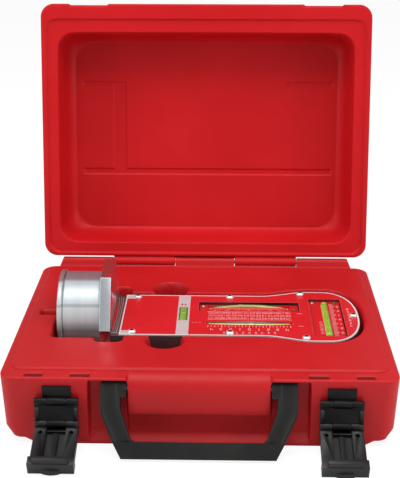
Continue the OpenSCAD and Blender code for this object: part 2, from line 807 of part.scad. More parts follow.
// the bent vial's tube: an arc about a centre far below it
module bent_tube(r) {
    half = caster_vial_len / 2 / caster_bulge_r * 180 / PI;
    translate([caster_mid, caster_vial_y, caster_vial_z - caster_bulge_r]) rotate([90, 0, 0])
        rotate([0, 0, 90 - half]) rotate_extrude(angle = 2 * half, $fn = 360)
            translate([caster_bulge_r, 0]) circle(r = r, $fn = 32);
}

module caster_vial() {
    color(vial_green) at_gauge() bent_tube(caster_vial_r);
}

module caster_carrier() {
    color(label_red) at_gauge() difference() {
        union() {
            block([caster_x[0] + window_gap, caster_y[0] + window_gap, carrier_top - carrier_t],
                  [caster_x[1] - window_gap, caster_y[1] - window_gap, carrier_top]);
            block([caster_mid - 4, caster_y[0] + 2, pivot_z - pivot_boss],
                  [caster_mid + 4, caster_y[1] - 2, carrier_top - 1]);
        }
        bent_tube(caster_vial_r);
        // the groove stays open above the tube's low ends
        block([caster_mid - caster_vial_len / 2 - 1, caster_vial_y - caster_vial_r, groove_z],
              [caster_mid + caster_vial_len / 2 + 1, caster_vial_y + caster_vial_r, carrier_top + cut]);
        rod_y(pivot_r + fit, caster_y[0], caster_y[1], caster_mid, pivot_z);
        translate([caster_screw[0], caster_screw[1], carrier_top - 5]) cylinder(r = trim_r + 0.6, h = 7);
        for (y = scale_screw_y)
            translate([scale_screw_x, y, carrier_top - 5]) cylinder(r = 1.05, h = 7);
    }
}

module caster_pivot_pin() {
    color(steel) at_gauge()
        rod_y(pivot_r, caster_y[0] - 4, caster_y[1] + 4, caster_mid, pivot_z);
}

module caster_scale_screws() {
    color(bare_metal) at_gauge() for (y = scale_screw_y)
        translate([scale_screw_x, y, carrier_top]) pan_screw(2, 1.1, 1, 2.6);
}

// trim screw: knurled knob below, plain shank, slotted top end
module trim_screw(p) {
    color(brass) at_gauge() translate([p[0], p[1], 0]) difference() {
        union() {
            translate([0, 0, cast_bottom - cover_t - 1 - knob_t]) difference() {
                cylinder(r = knob_r, h = knob_t);
                for (a = [0 : 20 : 340])
                    rotate(a) translate([knob_r + 0.35, 0, -cut]) cylinder(r = 0.9, h = knob_t + 2 * cut);
            }
            translate([0, 0, cast_bottom - cover_t - 2]) cylinder(r = trim_r, h = trim_len);
        }
        translate([0, 0, cast_bottom - cover_t - 2 + trim_len]) cube([5, 0.7, 2], center = true);
    }
}

module caster_adjust_screw() {
    trim_screw(caster_screw);
}

module kpi_vial() {
    color(vial_green) at_gauge()
        rod_y(vial_r, kpi_mid - kpi_vial_len / 2, kpi_mid + kpi_vial_len / 2, kpi_vial_x, kpi_vial_z);
}

module kpi_carrier() {
    color(label_red) at_gauge() difference() {
        union() {
            block([kpi_x[0] + window_gap, kpi_y[0] + window_gap, carrier_top - carrier_t],
                  [kpi_x[1] - window_gap, kpi_y[1] - window_gap, carrier_top]);
            block([kpi_x[0] + 2, kpi_mid - 4, pivot_z - pivot_boss],
                  [kpi_x[1] - 2, kpi_mid + 4, carrier_top - 1]);
        }
        rod_y(vial_r, kpi_mid - kpi_vial_len / 2, kpi_mid + kpi_vial_len / 2, kpi_vial_x, kpi_vial_z);
        rod_x(pivot_r + fit, kpi_x[0], kpi_x[1], kpi_mid, pivot_z);
        translate([kpi_screw[0], kpi_screw[1], carrier_top - 5]) cylinder(r = trim_r + 0.6, h = 7);
        translate([kpi_scale_x, kpi_screw[1], carrier_top - 5]) cylinder(r = 1.05, h = 7);
    }
}

module kpi_pivot_pin() {
    color(steel) at_gauge() rod_x(pivot_r, kpi_x[0] - 4, kpi_x[1] + 4, kpi_mid, pivot_z);
}

module kpi_scale_screw() {
    color(bare_metal) at_gauge()
        translate([kpi_scale_x, kpi_screw[1], carrier_top]) pan_screw(2, 1.1, 1, 2.6);
}

module kpi_adjust_screw() {
    trim_screw(kpi_screw);
}

// ---- magnetic head, turned about an axis along X ----

// a solid of revolution about the head's axis, from a list of [station, radius]
module turned(profile) {
    at_gauge() translate([0, 0, head_z]) rotate([0, 90, 0])
        rotate_extrude($fn = 96) polygon([for (p = profile) [p[1], p[0]]]);
}

module hex_flange() {
    color(bare_metal) difference() {
        union() {
            at_gauge() translate([flange_left, 0, head_z]) rotate([0, 90, 0]) rotate([0, 0, 30])
                cylinder(r = flange_flats / 2 / cos(30), h = flange_w, $fn = 6);
            turned([[flange_left - 4, 0], [flange_left - 4, bore_r - 0.05],
                    [flange_left, bore_r - 0.05], [flange_left, 0]]);
        }
        at_gauge() for (s = [-1, 1]) {
            rod_x(flange_screw_r + 0.1, flange_left - 6, flange_right + cut,
                  s * flange_screw_y, flange_screw_z);
            rod_x(flange_screw_r + 2.1, flange_left - 6, flange_left + 4, s * flange_screw_y, flange_screw_z);
        }
    }
}

module flange_screws() {
    color(steel) at_gauge() for (s = [-1, 1]) {
        difference() {
            rod_x(flange_screw_r + 2, flange_left - 1, flange_left + 4, s * flange_screw_y, flange_screw_z);
            translate([flange_left - 1, s * flange_screw_y, flange_screw_z]) rotate([0, 90, 0])
                cylinder(r = 2.9, h = 5, center = true, $fn = 6);
        }
        rod_x(flange_screw_r, flange_left + 4, flange_right + 12, s * flange_screw_y, flange_screw_z);
    }
}

module magnet_housing() {
    color(bare_metal) turned([
        [ring_right, bore_r], [ring_right, housing_r - 1], [ring_right + 1, housing_r - 1],
        [ring_right + 1, housing_r], [flange_left - 2, housing_r], [flange_left - 1, housing_r - 0.8],
        [flange_left, housing_r - 0.8], [flange_left, bore_r]]);
}

module end_ring() {
    color(bare_metal) turned([
        [ring_left, bore_r + 0.5], [ring_left, housing_r + 0.7], [ring_left + 0.8, housing_r + 1.5],
        [ring_right - 0.8, housing_r + 1.5], [ring_right, housing_r + 0.7], [ring_right, bore_r + 0.5]]);
}

module ring_magnet() {
    color(magnet_grey) turned([
        [magnet_face, guide_r + 0.2], [magnet_face, bore_r - 0.2],
        [magnet_back, bore_r - 0.2], [magnet_back, guide_r + 0.2]]);
}

module pole_plate() {
    color(steel) turned([
        [magnet_back, guide_r + 0.2], [magnet_back, bore_r - 0.1],
        [pole_back, bore_r - 0.1], [pole_back, guide_r + 0.2]]);
}

module pin_guide() {
    color(bare_metal) turned([
        [magnet_face, nose_r + fit], [magnet_face, guide_r], [flange_left - 4, guide_r],
        [flange_left - 4, guide_bore], [magnet_face + 3, guide_bore], [magnet_face + 3, nose_r + fit]]);
}

module centring_pin() {
    tip = ring_left - 1;
    color(steel) turned([
        [tip, 0], [tip, 1.5], [tip + 2.5, nose_r], [magnet_face + 3.2, nose_r],
        [magnet_face + 3.2, guide_bore - fit], [magnet_face + 12, guide_bore - fit],
        [magnet_face + 12, 4], [magnet_face + 20, 4], [magnet_face + 20, 0]]);
}

// a helix of round wire: rings of six points carried along the coil
spring_from = magnet_face + 12;
spring_to = flange_left - 4;
spring_steps = 12 * spring_turns;
spring_ring = guide_bore - 1.6;

function spring_point(i, k) =
    let (a = 360 * spring_turns * i / spring_steps,
         r = spring_ring + spring_wire * cos(60 * k),
         x = spring_from + spring_wire
             + (spring_to - spring_from - 2 * spring_wire) * i / spring_steps
             + spring_wire * sin(60 * k))
    [x, r * cos(a), r * sin(a)];

module pin_spring() {
    last = 6 * spring_steps;
    color(steel) at_gauge() translate([0, 0, head_z])
        polyhedron(
            points = [for (i = [0 : spring_steps], k = [0 : 5]) spring_point(i, k)],
            faces = concat(
                [[5, 4, 3, 2, 1, 0]],
                [for (i = [0 : spring_steps - 1], k = [0 : 5])
                    let (n = (k + 1) % 6)
                    [6 * i + k, 6 * i + n, 6 * i + 6 + n, 6 * i + 6 + k]],
                [[for (k = [0 : 5]) last + k]]));
}

case_base_shell();
case_base_tray();
case_lid_shell();
case_lid_liner();
hinge_pin_left();
hinge_pin_right();
carry_handle();
handle_pins();
latch_bracket_left();
latch_bracket_right();
latch_hinge_pin_left();
latch_hinge_pin_right();
latch_link_left();
latch_link_right();
latch_lever_pin_left();
latch_lever_pin_right();
latch_lever_left();
latch_lever_right();
gauge_body();
face_plate();
face_screws();
back_cover();
back_screws();
level_vial();
level_holder();
camber_vial();
camber_holder();
caster_vial();
caster_carrier();
caster_pivot_pin();
caster_scale_screws();
caster_adjust_screw();
kpi_vial();
kpi_carrier();
kpi_pivot_pin();
kpi_scale_screw();
kpi_adjust_screw();
hex_flange();
flange_screws();
magnet_housing();
end_ring();
ring_magnet();
pole_plate();
pin_guide();
centring_pin();
pin_spring();
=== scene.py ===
import math

import bmesh
import bpy
import numpy as np
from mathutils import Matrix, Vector, geometry


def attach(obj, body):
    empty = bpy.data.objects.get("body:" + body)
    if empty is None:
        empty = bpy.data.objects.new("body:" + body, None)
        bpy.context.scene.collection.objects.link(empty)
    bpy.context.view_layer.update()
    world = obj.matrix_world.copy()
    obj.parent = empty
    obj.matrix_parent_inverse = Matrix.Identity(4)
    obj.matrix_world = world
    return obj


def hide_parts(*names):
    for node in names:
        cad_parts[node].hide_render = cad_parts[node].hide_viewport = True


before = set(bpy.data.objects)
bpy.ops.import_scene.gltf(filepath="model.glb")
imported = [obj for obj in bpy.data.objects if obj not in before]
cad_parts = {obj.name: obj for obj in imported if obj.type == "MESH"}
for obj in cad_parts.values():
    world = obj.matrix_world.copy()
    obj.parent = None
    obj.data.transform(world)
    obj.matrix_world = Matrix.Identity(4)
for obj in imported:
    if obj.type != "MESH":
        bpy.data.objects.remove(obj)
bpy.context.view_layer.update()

# ---------------------------------------------------------------------------
# The photographer's table: a white sweep in a bright white room, one large soft
# lamp above and one on each side. The camera stands a metre in front of the
# case, half a metre up, and looks down by 20 degrees.
# ---------------------------------------------------------------------------

camera_place = Vector((0.0205, -1.0021, 0.5062))
camera_aim = Vector((-0.0213, 0.9411, -0.3375))
focal_px = 1117.5
photo_height_px = 478

camera_data = bpy.data.cameras.new("photo_camera")
camera_data.sensor_fit = "VERTICAL"
camera_data.sensor_height = 36.0
camera_data.lens = focal_px * camera_data.sensor_height / photo_height_px
camera = bpy.data.objects.new("photo_camera", camera_data)
camera.location = camera_place
camera.rotation_euler = camera_aim.to_track_quat("-Z", "Y").to_euler()
bpy.context.scene.collection.objects.link(camera)
bpy.context.scene.camera = camera
bpy.context.scene.view_settings.view_transform = "Standard"


def add(owner, kind, **settings):
    """Adds one shader node to a material or to the world; settings name its properties or
    its input sockets."""
    made = owner.node_tree.nodes.new(kind)
    for key, value in settings.items():
        if key in made.inputs:
            made.inputs[key].default_value = value
        else:
            setattr(made, key, value)
    return made


def wire(owner, source, target):
    """Joins an output socket to an input socket of the owner's nodes."""
    owner.node_tree.links.new(source, target)


def soft_lamp(name, place, aim, size, power):
    """A rectangular softbox at place that faces the point aim."""
    data = bpy.data.lights.new(name, "AREA")
    data.shape = "RECTANGLE"
    data.size, data.size_y = size
    data.energy = power
    lamp = bpy.data.objects.new(name, data)
    lamp.location = place
    lamp.rotation_euler = (Vector(aim) - Vector(place)).to_track_quat("-Z", "Y").to_euler()
    bpy.context.scene.collection.objects.link(lamp)


side_lamp_x = 1.35
soft_lamp("lamp_above", (0.0, -0.35, 1.55), (0.0, 0.02, 0.08), (1.5, 0.9), 19)
for side, lamp_x in (("left", -side_lamp_x), ("right", side_lamp_x)):
    soft_lamp(f"lamp_{side}", (lamp_x, -0.55, 0.75), (0.0, 0.05, 0.12), (0.6, 1.1), 7)

# the room is plain white to the camera and gives a softer light of its own
white = (1, 1, 1, 1)
room_light = 0.42
room = bpy.data.worlds.new("white_room")
bpy.context.scene.world = room
room.use_nodes = True
room.node_tree.nodes.clear()
room_out = add(room, "ShaderNodeOutputWorld")
room_mix = add(room, "ShaderNodeMixShader")
room_fill = add(room, "ShaderNodeBackground", Color=white, Strength=room_light)
room_seen = add(room, "ShaderNodeBackground", Color=white, Strength=1.0)
room_path = add(room, "ShaderNodeLightPath")
wire(room, room_path.outputs["Is Camera Ray"], room_mix.inputs[0])
wire(room, room_fill.outputs[0], room_mix.inputs[1])
wire(room, room_seen.outputs[0], room_mix.inputs[2])
wire(room, room_mix.outputs[0], room_out.inputs["Surface"])

# the sweep is white paper that shows mostly as an even white glow to the camera
floor_half = 4.0
glow_share = 0.80
floor_mesh = bpy.data.meshes.new("white_sweep")
floor_mesh.from_pydata([(-floor_half, -floor_half, 0), (floor_half, -floor_half, 0),
                        (floor_half, floor_half, 0), (-floor_half, floor_half, 0)],
                       [], [(0, 1, 2, 3)])
sweep = bpy.data.objects.new("white_sweep", floor_mesh)
bpy.context.scene.collection.objects.link(sweep)
sweep_paint = bpy.data.materials.new("white_sweep_paper")
sweep_paint.use_nodes = True
sweep_paint.node_tree.nodes.clear()
paper = add(sweep_paint, "ShaderNodeBsdfDiffuse", Color=(0.86, 0.86, 0.86, 1))
glow = add(sweep_paint, "ShaderNodeEmission", Color=white, Strength=1.1)
share = add(sweep_paint, "ShaderNodeMath", operation="MULTIPLY")
share.inputs[1].default_value = glow_share
seen = add(sweep_paint, "ShaderNodeLightPath")
blend_paper = add(sweep_paint, "ShaderNodeMixShader")
sweep_out = add(sweep_paint, "ShaderNodeOutputMaterial")
wire(sweep_paint, seen.outputs["Is Camera Ray"], share.inputs[0])
wire(sweep_paint, share.outputs[0], blend_paper.inputs[0])
wire(sweep_paint, paper.outputs[0], blend_paper.inputs[1])
wire(sweep_paint, glow.outputs[0], blend_paper.inputs[2])
wire(sweep_paint, blend_paper.outputs[0], sweep_out.inputs["Surface"])
sweep.data.materials.append(sweep_paint)

# ---------------------------------------------------------------------------
# Red case: two blow-moulded polyethylene halves with double walls. The skin is
# satin, a little uneven in colour, gloss and relief, and every edge is rounded
# by the mould.
# ---------------------------------------------------------------------------

noise_roughness = 0.55


def noise(material, scale, detail, stretch=(1, 1, 1)):
    """Noise on Object coordinates; scale is in cycles a metre and stretch squeezes it per axis."""
    where = add(material, "ShaderNodeTexCoord")
    turn = add(material, "ShaderNodeMapping")
    turn.inputs["Scale"].default_value = stretch
    cloud = add(material, "ShaderNodeTexNoise", Scale=scale, Detail=detail,
                Roughness=noise_roughness)
    wire(material, where.outputs["Object"], turn.inputs["Vector"])
    wire(material, turn.outputs[0], cloud.inputs["Vector"])
    return cloud.outputs["Fac"]


def ramp(material, source, stops):
    """A colour ramp over source; stops are (place, (r, g, b)) or (place, grey)."""
    band = add(material, "ShaderNodeValToRGB")
    wire(material, source, band.inputs["Fac"])
    while len(band.color_ramp.elements) < len(stops):
        band.color_ramp.elements.new(0.5)
    for element, (place, shade) in zip(band.color_ramp.elements, stops):
        element.position = place
        rgb = (shade, shade, shade) if isinstance(shade, (int, float)) else shade
        element.color = (*rgb, 1)
    return band.outputs["Color"]


def surface(name, metal, rough_low, rough_high, grain, bump_depth, bump_scale, colours,
            cloud=12.0, stretch=(1, 1, 1), edge=0.0, gloss=0.5):
    """A Principled material: colours vary over a broad noise, roughness over a finer one,
    and a fine noise gives the relief. edge rounds sharp edges by that radius in the light and
    gloss is the strength of the mirror reflection."""
    made = bpy.data.materials.new(name)
    made.use_nodes = True
    shader = made.node_tree.nodes["Principled BSDF"]
    shader.inputs["Metallic"].default_value = metal
    shader.inputs["Specular IOR Level"].default_value = gloss
    wire(made, ramp(made, noise(made, cloud, 4, stretch), colours), shader.inputs["Base Color"])
    rough = ramp(made, noise(made, grain, 3, stretch), [(0.3, rough_low), (0.7, rough_high)])
    wire(made, rough, shader.inputs["Roughness"])
    relief = add(made, "ShaderNodeBump", Strength=1.0, Distance=bump_depth)
    wire(made, noise(made, bump_scale, 2, stretch), relief.inputs["Height"])
    if edge > 0:
        rounder = add(made, "ShaderNodeBevel", Radius=edge, samples=6)
        wire(made, rounder.outputs[0], relief.inputs["Normal"])
    wire(made, relief.outputs[0], shader.inputs["Normal"])
    return made


# painted light: the lid's red is the bottom half's red made a little lighter for the more even
# light on the open lid, and its moulding is a little glossier
red_shades = [(0.30, (0.425, 0.0060, 0.0085)), (0.55, (0.475, 0.0075, 0.0105)),
              (0.75, (0.52, 0.0095, 0.0125))]
lid_painted_light = 1.06
lid_shades = [(place, tuple(part * lid_painted_light for part in shade))
              for place, shade in red_shades]
lid_red = surface("lid_red_moulding", 0.0, 0.38, 0.48, 26.0, 0.00012, 420.0, lid_shades,
                  cloud=7.0, gloss=0.15)
case_red = surface("case_red_moulding", 0.0, 0.44, 0.54, 26.0, 0.00012, 420.0, red_shades,
                   cloud=7.0, gloss=0.26)


def place_mesh(name, points, faces, material, caps=(), smooth=True):
    """Makes an object from an array of points in metres and its faces. caps are further faces
    with any number of corners."""
    mesh = bpy.data.meshes.new(name)
    mesh.from_pydata(points.reshape(-1, 3).tolist(), [],
                     faces.tolist() + [list(map(int, cap)) for cap in caps])
    mesh.polygons.foreach_set("use_smooth", [smooth] * len(mesh.polygons))
    mesh.update()
    piece = bpy.data.objects.new(name, mesh)
    piece.data.materials.append(material)
    bpy.context.scene.collection.objects.link(piece)
    return piece


def quads(rows, columns, wrap=False):
    """Faces of a grid of rows by columns; wrap joins the last column to the first."""
    r, c = np.meshgrid(np.arange(rows - 1), np.arange(columns if wrap else columns - 1),
                       indexing="ij")
    a = r * columns + c
    b = r * columns + (c + 1) % columns
    return np.stack([a, b, b + columns, a + columns], -1).reshape(-1, 4)


def end_caps(rows, columns):
    """Faces that close the first and the last row of a grid whose rows are closed loops."""
    return [np.arange(columns)[::-1], np.arange(columns) + (rows - 1) * columns]


def skin_from(piece, thickness):
    """Gives a sheet its wall in millimetres, grown away from the side that shows."""
    wall = piece.modifiers.new("wall", "SOLIDIFY")
    wall.thickness = thickness / 1000
    wall.offset = -1.0


line_cluster = np.array([-1.0, -0.62, -0.34, -0.14, 0.0, 0.14, 0.34, 0.62, 1.0])
closest_lines = 0.09


def lines(low, high, turns, spread, step):
    """Grid lines from low to high, at most step apart, with a cluster around each turn of the
    surface: at the turn and out to spread on either side of it."""
    marks = [low, high] + [turn + mark for turn in turns for mark in line_cluster * spread]
    marks = np.unique(np.clip(np.round(marks, 2), low, high))
    keep = [marks[0]] + [b for a, b in zip(marks[:-1], marks[1:]) if b - a > closest_lines]
    filled = [np.linspace(a, b, max(2, math.ceil((b - a) / step) + 1))[:-1]
              for a, b in zip(keep[:-1], keep[1:])]
    return np.concatenate(filled + [[keep[-1]]])


def filled_in(places, more):
    """Grid lines with more of them added where none lies within half a millimetre."""
    far = np.abs(more[:, None] - places).min(1) > 0.5
    return np.sort(np.concatenate([places, more[far]]))


def inside_slab(x, y, x0, x1, y0, y1, r):
    """Distance inside a rectangle whose corners are rounded by r, negative outside it."""
    qx = np.abs(x - (x0 + x1) / 2) - (x1 - x0) / 2 + r
    qy = np.abs(y - (y0 + y1) / 2) - (y1 - y0) / 2 + r
    outside = np.hypot(np.maximum(qx, 0), np.maximum(qy, 0))
    return r - outside - np.minimum(np.maximum(qx, qy), 0)


def ease(t):
    """Smooth step from 0 to 1 as t goes from 0 to 1."""
    t = np.clip(t, 0, 1)
    return t * t * (3 - 2 * t)


def drop(d, depth, top_r, foot_r, steep):
    """How far a moulded wall has fallen at distance d inside its edge: a quarter round of
    top_r, a straight wall whose fall is steep times its run, and a round foot of foot_r."""
    lean = steep / math.hypot(1, steep)
    run_top = top_r * lean
    fall_top = top_r * (1 - math.sqrt(1 - lean ** 2))
    fall_foot = foot_r * (1 - math.sqrt(1 - lean ** 2))
    run_wall = np.maximum(0.0, depth - fall_top - fall_foot) / steep
    top = top_r - np.sqrt(np.maximum(top_r ** 2 - np.clip(d, 0, run_top) ** 2, 0))
    wall = np.minimum(np.maximum(d - run_top, 0), run_wall) * steep
    left = np.clip(run_top + run_wall + foot_r * lean - d, 0, foot_r * lean)
    foot = fall_foot - (foot_r - np.sqrt(np.maximum(foot_r ** 2 - left ** 2, 0)))
    foot = np.where(d > run_top + run_wall, foot, 0)
    return np.minimum(top + wall + foot, depth)


# ---------------------------------------------------------------------------
# Lid, inner skin: the rim with its step for the deck, and the deep pocket whose
# drafted walls meet the grooved floor in a fold. Blow-moulded in the red; it is
# worked out closed, in millimetres, and turned open about the hinge.
# ---------------------------------------------------------------------------

case_w = 350.0
case_d = 270.0
corner_r = 14.0
skin_wall = 1.8
lid_rim_z = 66.9
hinge_y = 141.0
hinge_z = 70.0
lid_open_deg = 100.0
rim_round = 2.2
rim_back_y = -122.0
# outlines: left, right, front, back and the radius of the corners
nest = (-169.0, 169.0, -119.0, 131.0, 12.0)
mouth = (-159.3, 159.3, -106.5, 121.0, 20.0)
pocket_floor = (-144.7, 144.7, -95.5, 110.0, 22.0)
nest_depth = 1.9
nest_soft = 1.6
pocket_depth = 50.0
# the pocket's wall: rounds at its mouth and foot, its run from the one outline to the other,
# how steep it is, and how far below the floor its foot would end
mouth_round = 1.6
floor_round = 18.0
wall_run = 12.3
wall_steep = 12.0
floor_cut = 3.0
# the floor's grooves: how deep, how far they reach and where their edges lie
groove_depth = 1.3
groove_soft = 1.6
groove_reach = (-137.0, 139.5)
groove_near_hinge = (44.2, 50.4)
groove_near_front = (-52.0, -47.6)
groove_upright = (-103.0, -89.0)
groove_right_from = 90.0
# the recesses that the latches' levers close into: middle, half width, depth and soft edge
catch_x = 124.0
catch_half_w = 20.9
catch_inset = 2.0
catch_soft = 0.8


def turned_open(points_mm):
    """Turns points of the closed lid by the opening angle about the hinge, in metres."""
    a = math.radians(-lid_open_deg)
    y = points_mm[..., 1] - hinge_y
    z = points_mm[..., 2] - hinge_z
    return np.stack([points_mm[..., 0], hinge_y + y * math.cos(a) - z * math.sin(a),
                     hinge_z + y * math.sin(a) + z * math.cos(a)], -1) / 1000


def case_half_width(y):
    """Half width of the case's outline at y, narrower where its corners round."""
    into = np.clip(np.abs(y) - (case_d / 2 - corner_r), 0, corner_r)
    return case_w / 2 - corner_r + np.sqrt(corner_r ** 2 - into ** 2)


def between(v, low, high, soft):
    """1 between low and high and 0 outside, with a smooth change of width soft at both ends."""
    return ease((v - low) / soft + 0.5) * ease((high - v) / soft + 0.5)


def lid_floor(x, y):
    """Depth of the pocket's floor: flat, with shallow grooves: one across near the hinge, a
    short one to each side near the front, and a wide one that joins the left ones."""
    left, right = groove_reach
    front, back = groove_near_front[0], groove_near_hinge[1]
    at_hinge = between(y, *groove_near_hinge, 2.0) * between(x, left, right, groove_soft)
    at_sides = (between(x, left, groove_upright[1], groove_soft)
                + between(x, groove_right_from, right, groove_soft))
    at_front = between(y, *groove_near_front, groove_soft) * at_sides
    upright = between(x, *groove_upright, groove_soft) * between(y, front, back, groove_soft)
    return pocket_depth + groove_depth * np.maximum(np.maximum(at_hinge, at_front), upright)


def lid_inside(x, y):
    """Height of the closed lid's inner skin over x and y: the rim, rounded at its outer edge,
    the step that clears the deck, and the pocket. Between the pocket's mouth and its floor
    the wall falls with the share of the way from one outline to the other, and the floor cuts
    off the last of its round foot, which leaves a fold."""
    edge = inside_slab(x, y, -case_w / 2, case_w / 2, -case_d / 2, case_d / 2, corner_r)
    bite = np.clip(rim_round - edge, 0, rim_round)
    z = lid_rim_z + rim_round - np.sqrt(np.maximum(rim_round ** 2 - bite ** 2, 0))
    z = z + nest_depth * ease(inside_slab(x, y, *nest) / nest_soft + 0.5)
    from_mouth = np.clip(inside_slab(x, y, *mouth), 0, None)
    to_floor = np.maximum(-inside_slab(x, y, *pocket_floor), 0)
    share = from_mouth / np.maximum(from_mouth + to_floor, 1e-6)
    floor = lid_floor(x, y) - nest_depth
    fall = drop(share * wall_run, floor + floor_cut, mouth_round, floor_round, wall_steep)
    return z + np.minimum(fall, floor)


# grid lines gather where the skin turns, and more of them follow the pocket's round corners
wall_grid = 1.6
half_x = lines(0.0, case_w / 2, [89.3, 103.0, 138.2, pocket_floor[1], mouth[1], nest[1], 174.0],
               2.4, 4.0)
half_x = filled_in(half_x, np.arange(128.0, 158.0, wall_grid))
across = np.concatenate([-half_x[:0:-1], half_x]) / (case_w / 2)
along = lines(-case_d / 2, case_d / 2,
              [-134.0, nest[2], mouth[2], pocket_floor[2], *groove_near_front,
               *groove_near_hinge, pocket_floor[3], mouth[3], nest[3], 134.0], 2.2, 4.0)
along = filled_in(along, np.concatenate([np.arange(-104, -78, wall_grid),
                                         np.arange(92, 119, wall_grid)]))
u, y = np.meshgrid(across, along)
x = u * case_half_width(y)
height = lid_inside(x, y)
# the rim's front steps back where these recesses lie in the outer skin
at_catch = ease((catch_half_w - np.abs(np.abs(x) - catch_x)) / catch_soft)
y = y + at_catch * catch_inset * np.clip((rim_back_y - y) / (rim_back_y + case_d / 2), 0, 1)
lid_points = turned_open(np.stack([x, y, height], -1))
lid_lining = place_mesh("lid_lining", lid_points, quads(*x.shape)[:, ::-1], lid_red)
skin_from(lid_lining, skin_wall)
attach(lid_lining, "lid")
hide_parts("case_lid_liner")

# ---------------------------------------------------------------------------
# Bottom half, inner skin: the raised deck with the fitted pocket for the gauge
# and the finger holes beside it. It is one with the outer skin in the mould;
# its walls lean a little and every edge is rounded. The block is flat below.
# ---------------------------------------------------------------------------

deck = (-168.0, 168.0, -118.0, 130.0, 12.0)
ledge_z = 66.5
deck_rise = 1.5
deck_soft = 1.8
deck_edge_round = 2.2
block_under_z = 21.0
block_front_y = -115.0
block_taper = 0.97
# the gauge's outline: straight sides, a flare and a superellipse as the round end
gauge_y = 4.5
gauge_half_w = 48.7
flare_x = 58.0
flare_run = 48.0
flare_out = 11.3
end_x = 118.0
end_reach = 35.0
end_half_w = 60.0
end_power = 2.35
# the pocket for the gauge's frame, then square and round wells: outline or place and radius
# from the gauge's middle, floor, rounds of mouth and foot, and how steep the walls are
pocket_left = -90.0
pocket_room = 6.1
pocket_shape = (41.5, deck_edge_round, 2.0, 12.0)
flange_well = (-102, -71, -69, 69, 9)
head_well = (-143.5, -90, -60, 60, 8)
pin_well = (-161, -136, -8, 8, 4)
square_wells = [(flange_well, (25.0, deck_edge_round, 2.5, 12.0)),
                (head_well, (29.5, deck_edge_round, 2.5, 12.0)),
                (pin_well, (58.5, 2.6, 2.4, 6.0))]
finger_hole = (33.0, deck_edge_round, 5.0, 10.0)
knob_hole = (34.0, 1.0, 1.0, 12.0)
round_wells = [((-33.7, -62.5, 20.0), finger_hole), ((-33.7, 62.5, 20.0), finger_hole),
               ((90.5, 17.0, 11.0), knob_hole), ((132.0, 37.0, 11.0), knob_hole)]


def body_distance(x, y, grow):
    """Distance inside the gauge's outline grown by grow: straight sides that flare along a
    smooth step, and a superellipse as the round end."""
    flare = ease((x - flare_x) / flare_run)
    side = gauge_half_w + flare_out * flare + grow - np.abs(y)
    dx = np.maximum(x - end_x, 0)
    rho = ((dx / (end_reach + grow)) ** end_power
           + (np.abs(y) / (end_half_w + grow)) ** end_power) ** (1 / end_power)
    end = (1 / np.maximum(rho, 1e-6) - 1) * np.hypot(dx, y)
    return np.minimum(np.where(x > end_x, end, side), x - pocket_left)


def deck_height(x, y):
    """Height of the deck over x and y: the ledge, the rounded rise to the deck and, inside each
    pocket, the fall of its wall; where pockets meet the deeper one wins."""
    top = ledge_z + deck_rise * ease(inside_slab(x, y, *deck) / deck_soft)
    gy = y - gauge_y
    hollows = [(body_distance(x, gy, pocket_room), pocket_shape)]
    hollows += [(inside_slab(x, gy, *slab), shape) for slab, shape in square_wells]
    hollows += [(radius - np.hypot(x - hole_x, gy - hole_y), shape)
                for (hole_x, hole_y, radius), shape in round_wells]
    return top - np.max([drop(inside, top - floor_z, *rounds)
                         for inside, (floor_z, *rounds) in hollows], 0)


def deck_half_width(y):
    """Half width of the raised deck's outline at y."""
    middle = (deck[2] + deck[3]) / 2
    into = np.clip(np.abs(y - middle) - ((deck[3] - deck[2]) / 2 - deck[4]), 0, deck[4])
    return deck[1] - deck[4] + np.sqrt(np.maximum(deck[4] ** 2 - into ** 2, 0))


# an even grid with more lines at the deck's edge and down the wells' walls
wall_marks = np.array([0, 0.5, 1.1, 1.7, 2.3, 2.9, 3.5, 4.4, 5.4])
well_sides = ((head_well[0], 1), (flange_well[0], 1), (flange_well[1], -1), (pin_well[0], 1))
half_deck = np.unique(np.round(np.concatenate([
    np.arange(0, deck[1] + 0.1, 1.25), deck[1] - np.array([0, 0.3, 0.7, 1.2, 1.9])]), 2))
across = np.concatenate([-half_deck[:0:-1], half_deck])
across = np.unique(np.round(np.concatenate(
    [across] + [edge + wall_marks * side for edge, side in well_sides]), 2))
along = np.unique(np.round(np.concatenate(
    [np.arange(deck[2], deck[3] + 0.1, 1.15), [-117.7, -117.3, 129.3, 129.7]]
    + [gauge_y + side * (edge - wall_marks)
       for edge in (gauge_half_w + pocket_room, head_well[3], flange_well[3])
       for side in (-1, 1)]), 2))
across, along = (places[np.concatenate([[True], np.diff(places) > 0.15])]
                 for places in (across, along))
u, y = np.meshgrid(across / deck[1], along)
x = u * deck_half_width(y)
top_points = np.stack([x, y, deck_height(x, y)], -1).reshape(-1, 3)
rows, columns = x.shape
grid = np.arange(rows * columns).reshape(rows, columns)
rim = np.concatenate([grid[0, :-1], grid[:-1, -1], grid[-1, :0:-1], grid[:0:-1, 0]])
skirt = top_points[rim] * (block_taper, block_taper, 0) + (0, 0, block_under_z)
skirt[:, 1] = np.maximum(skirt[:, 1], block_front_y)
skirt_from = len(top_points)
ahead = np.roll(np.arange(len(rim)), -1)
side_faces = np.stack([rim, skirt_from + np.arange(len(rim)), skirt_from + ahead, rim[ahead]], -1)
deck_block = place_mesh("deck_block", np.concatenate([top_points, skirt]) / 1000,
                        np.concatenate([quads(rows, columns), side_faces]), case_red,
                        [skirt_from + np.arange(len(rim))[::-1]])
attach(deck_block, "case_base")
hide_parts("case_base_tray")

# ---------------------------------------------------------------------------
# Bottom half, outer skin: drafted walls between a round upper edge and the
# inset foot, with the handle's recess in front: a rounded bulge between two
# channels for the handle's arms. Blow-moulded in one with the deck.
# ---------------------------------------------------------------------------

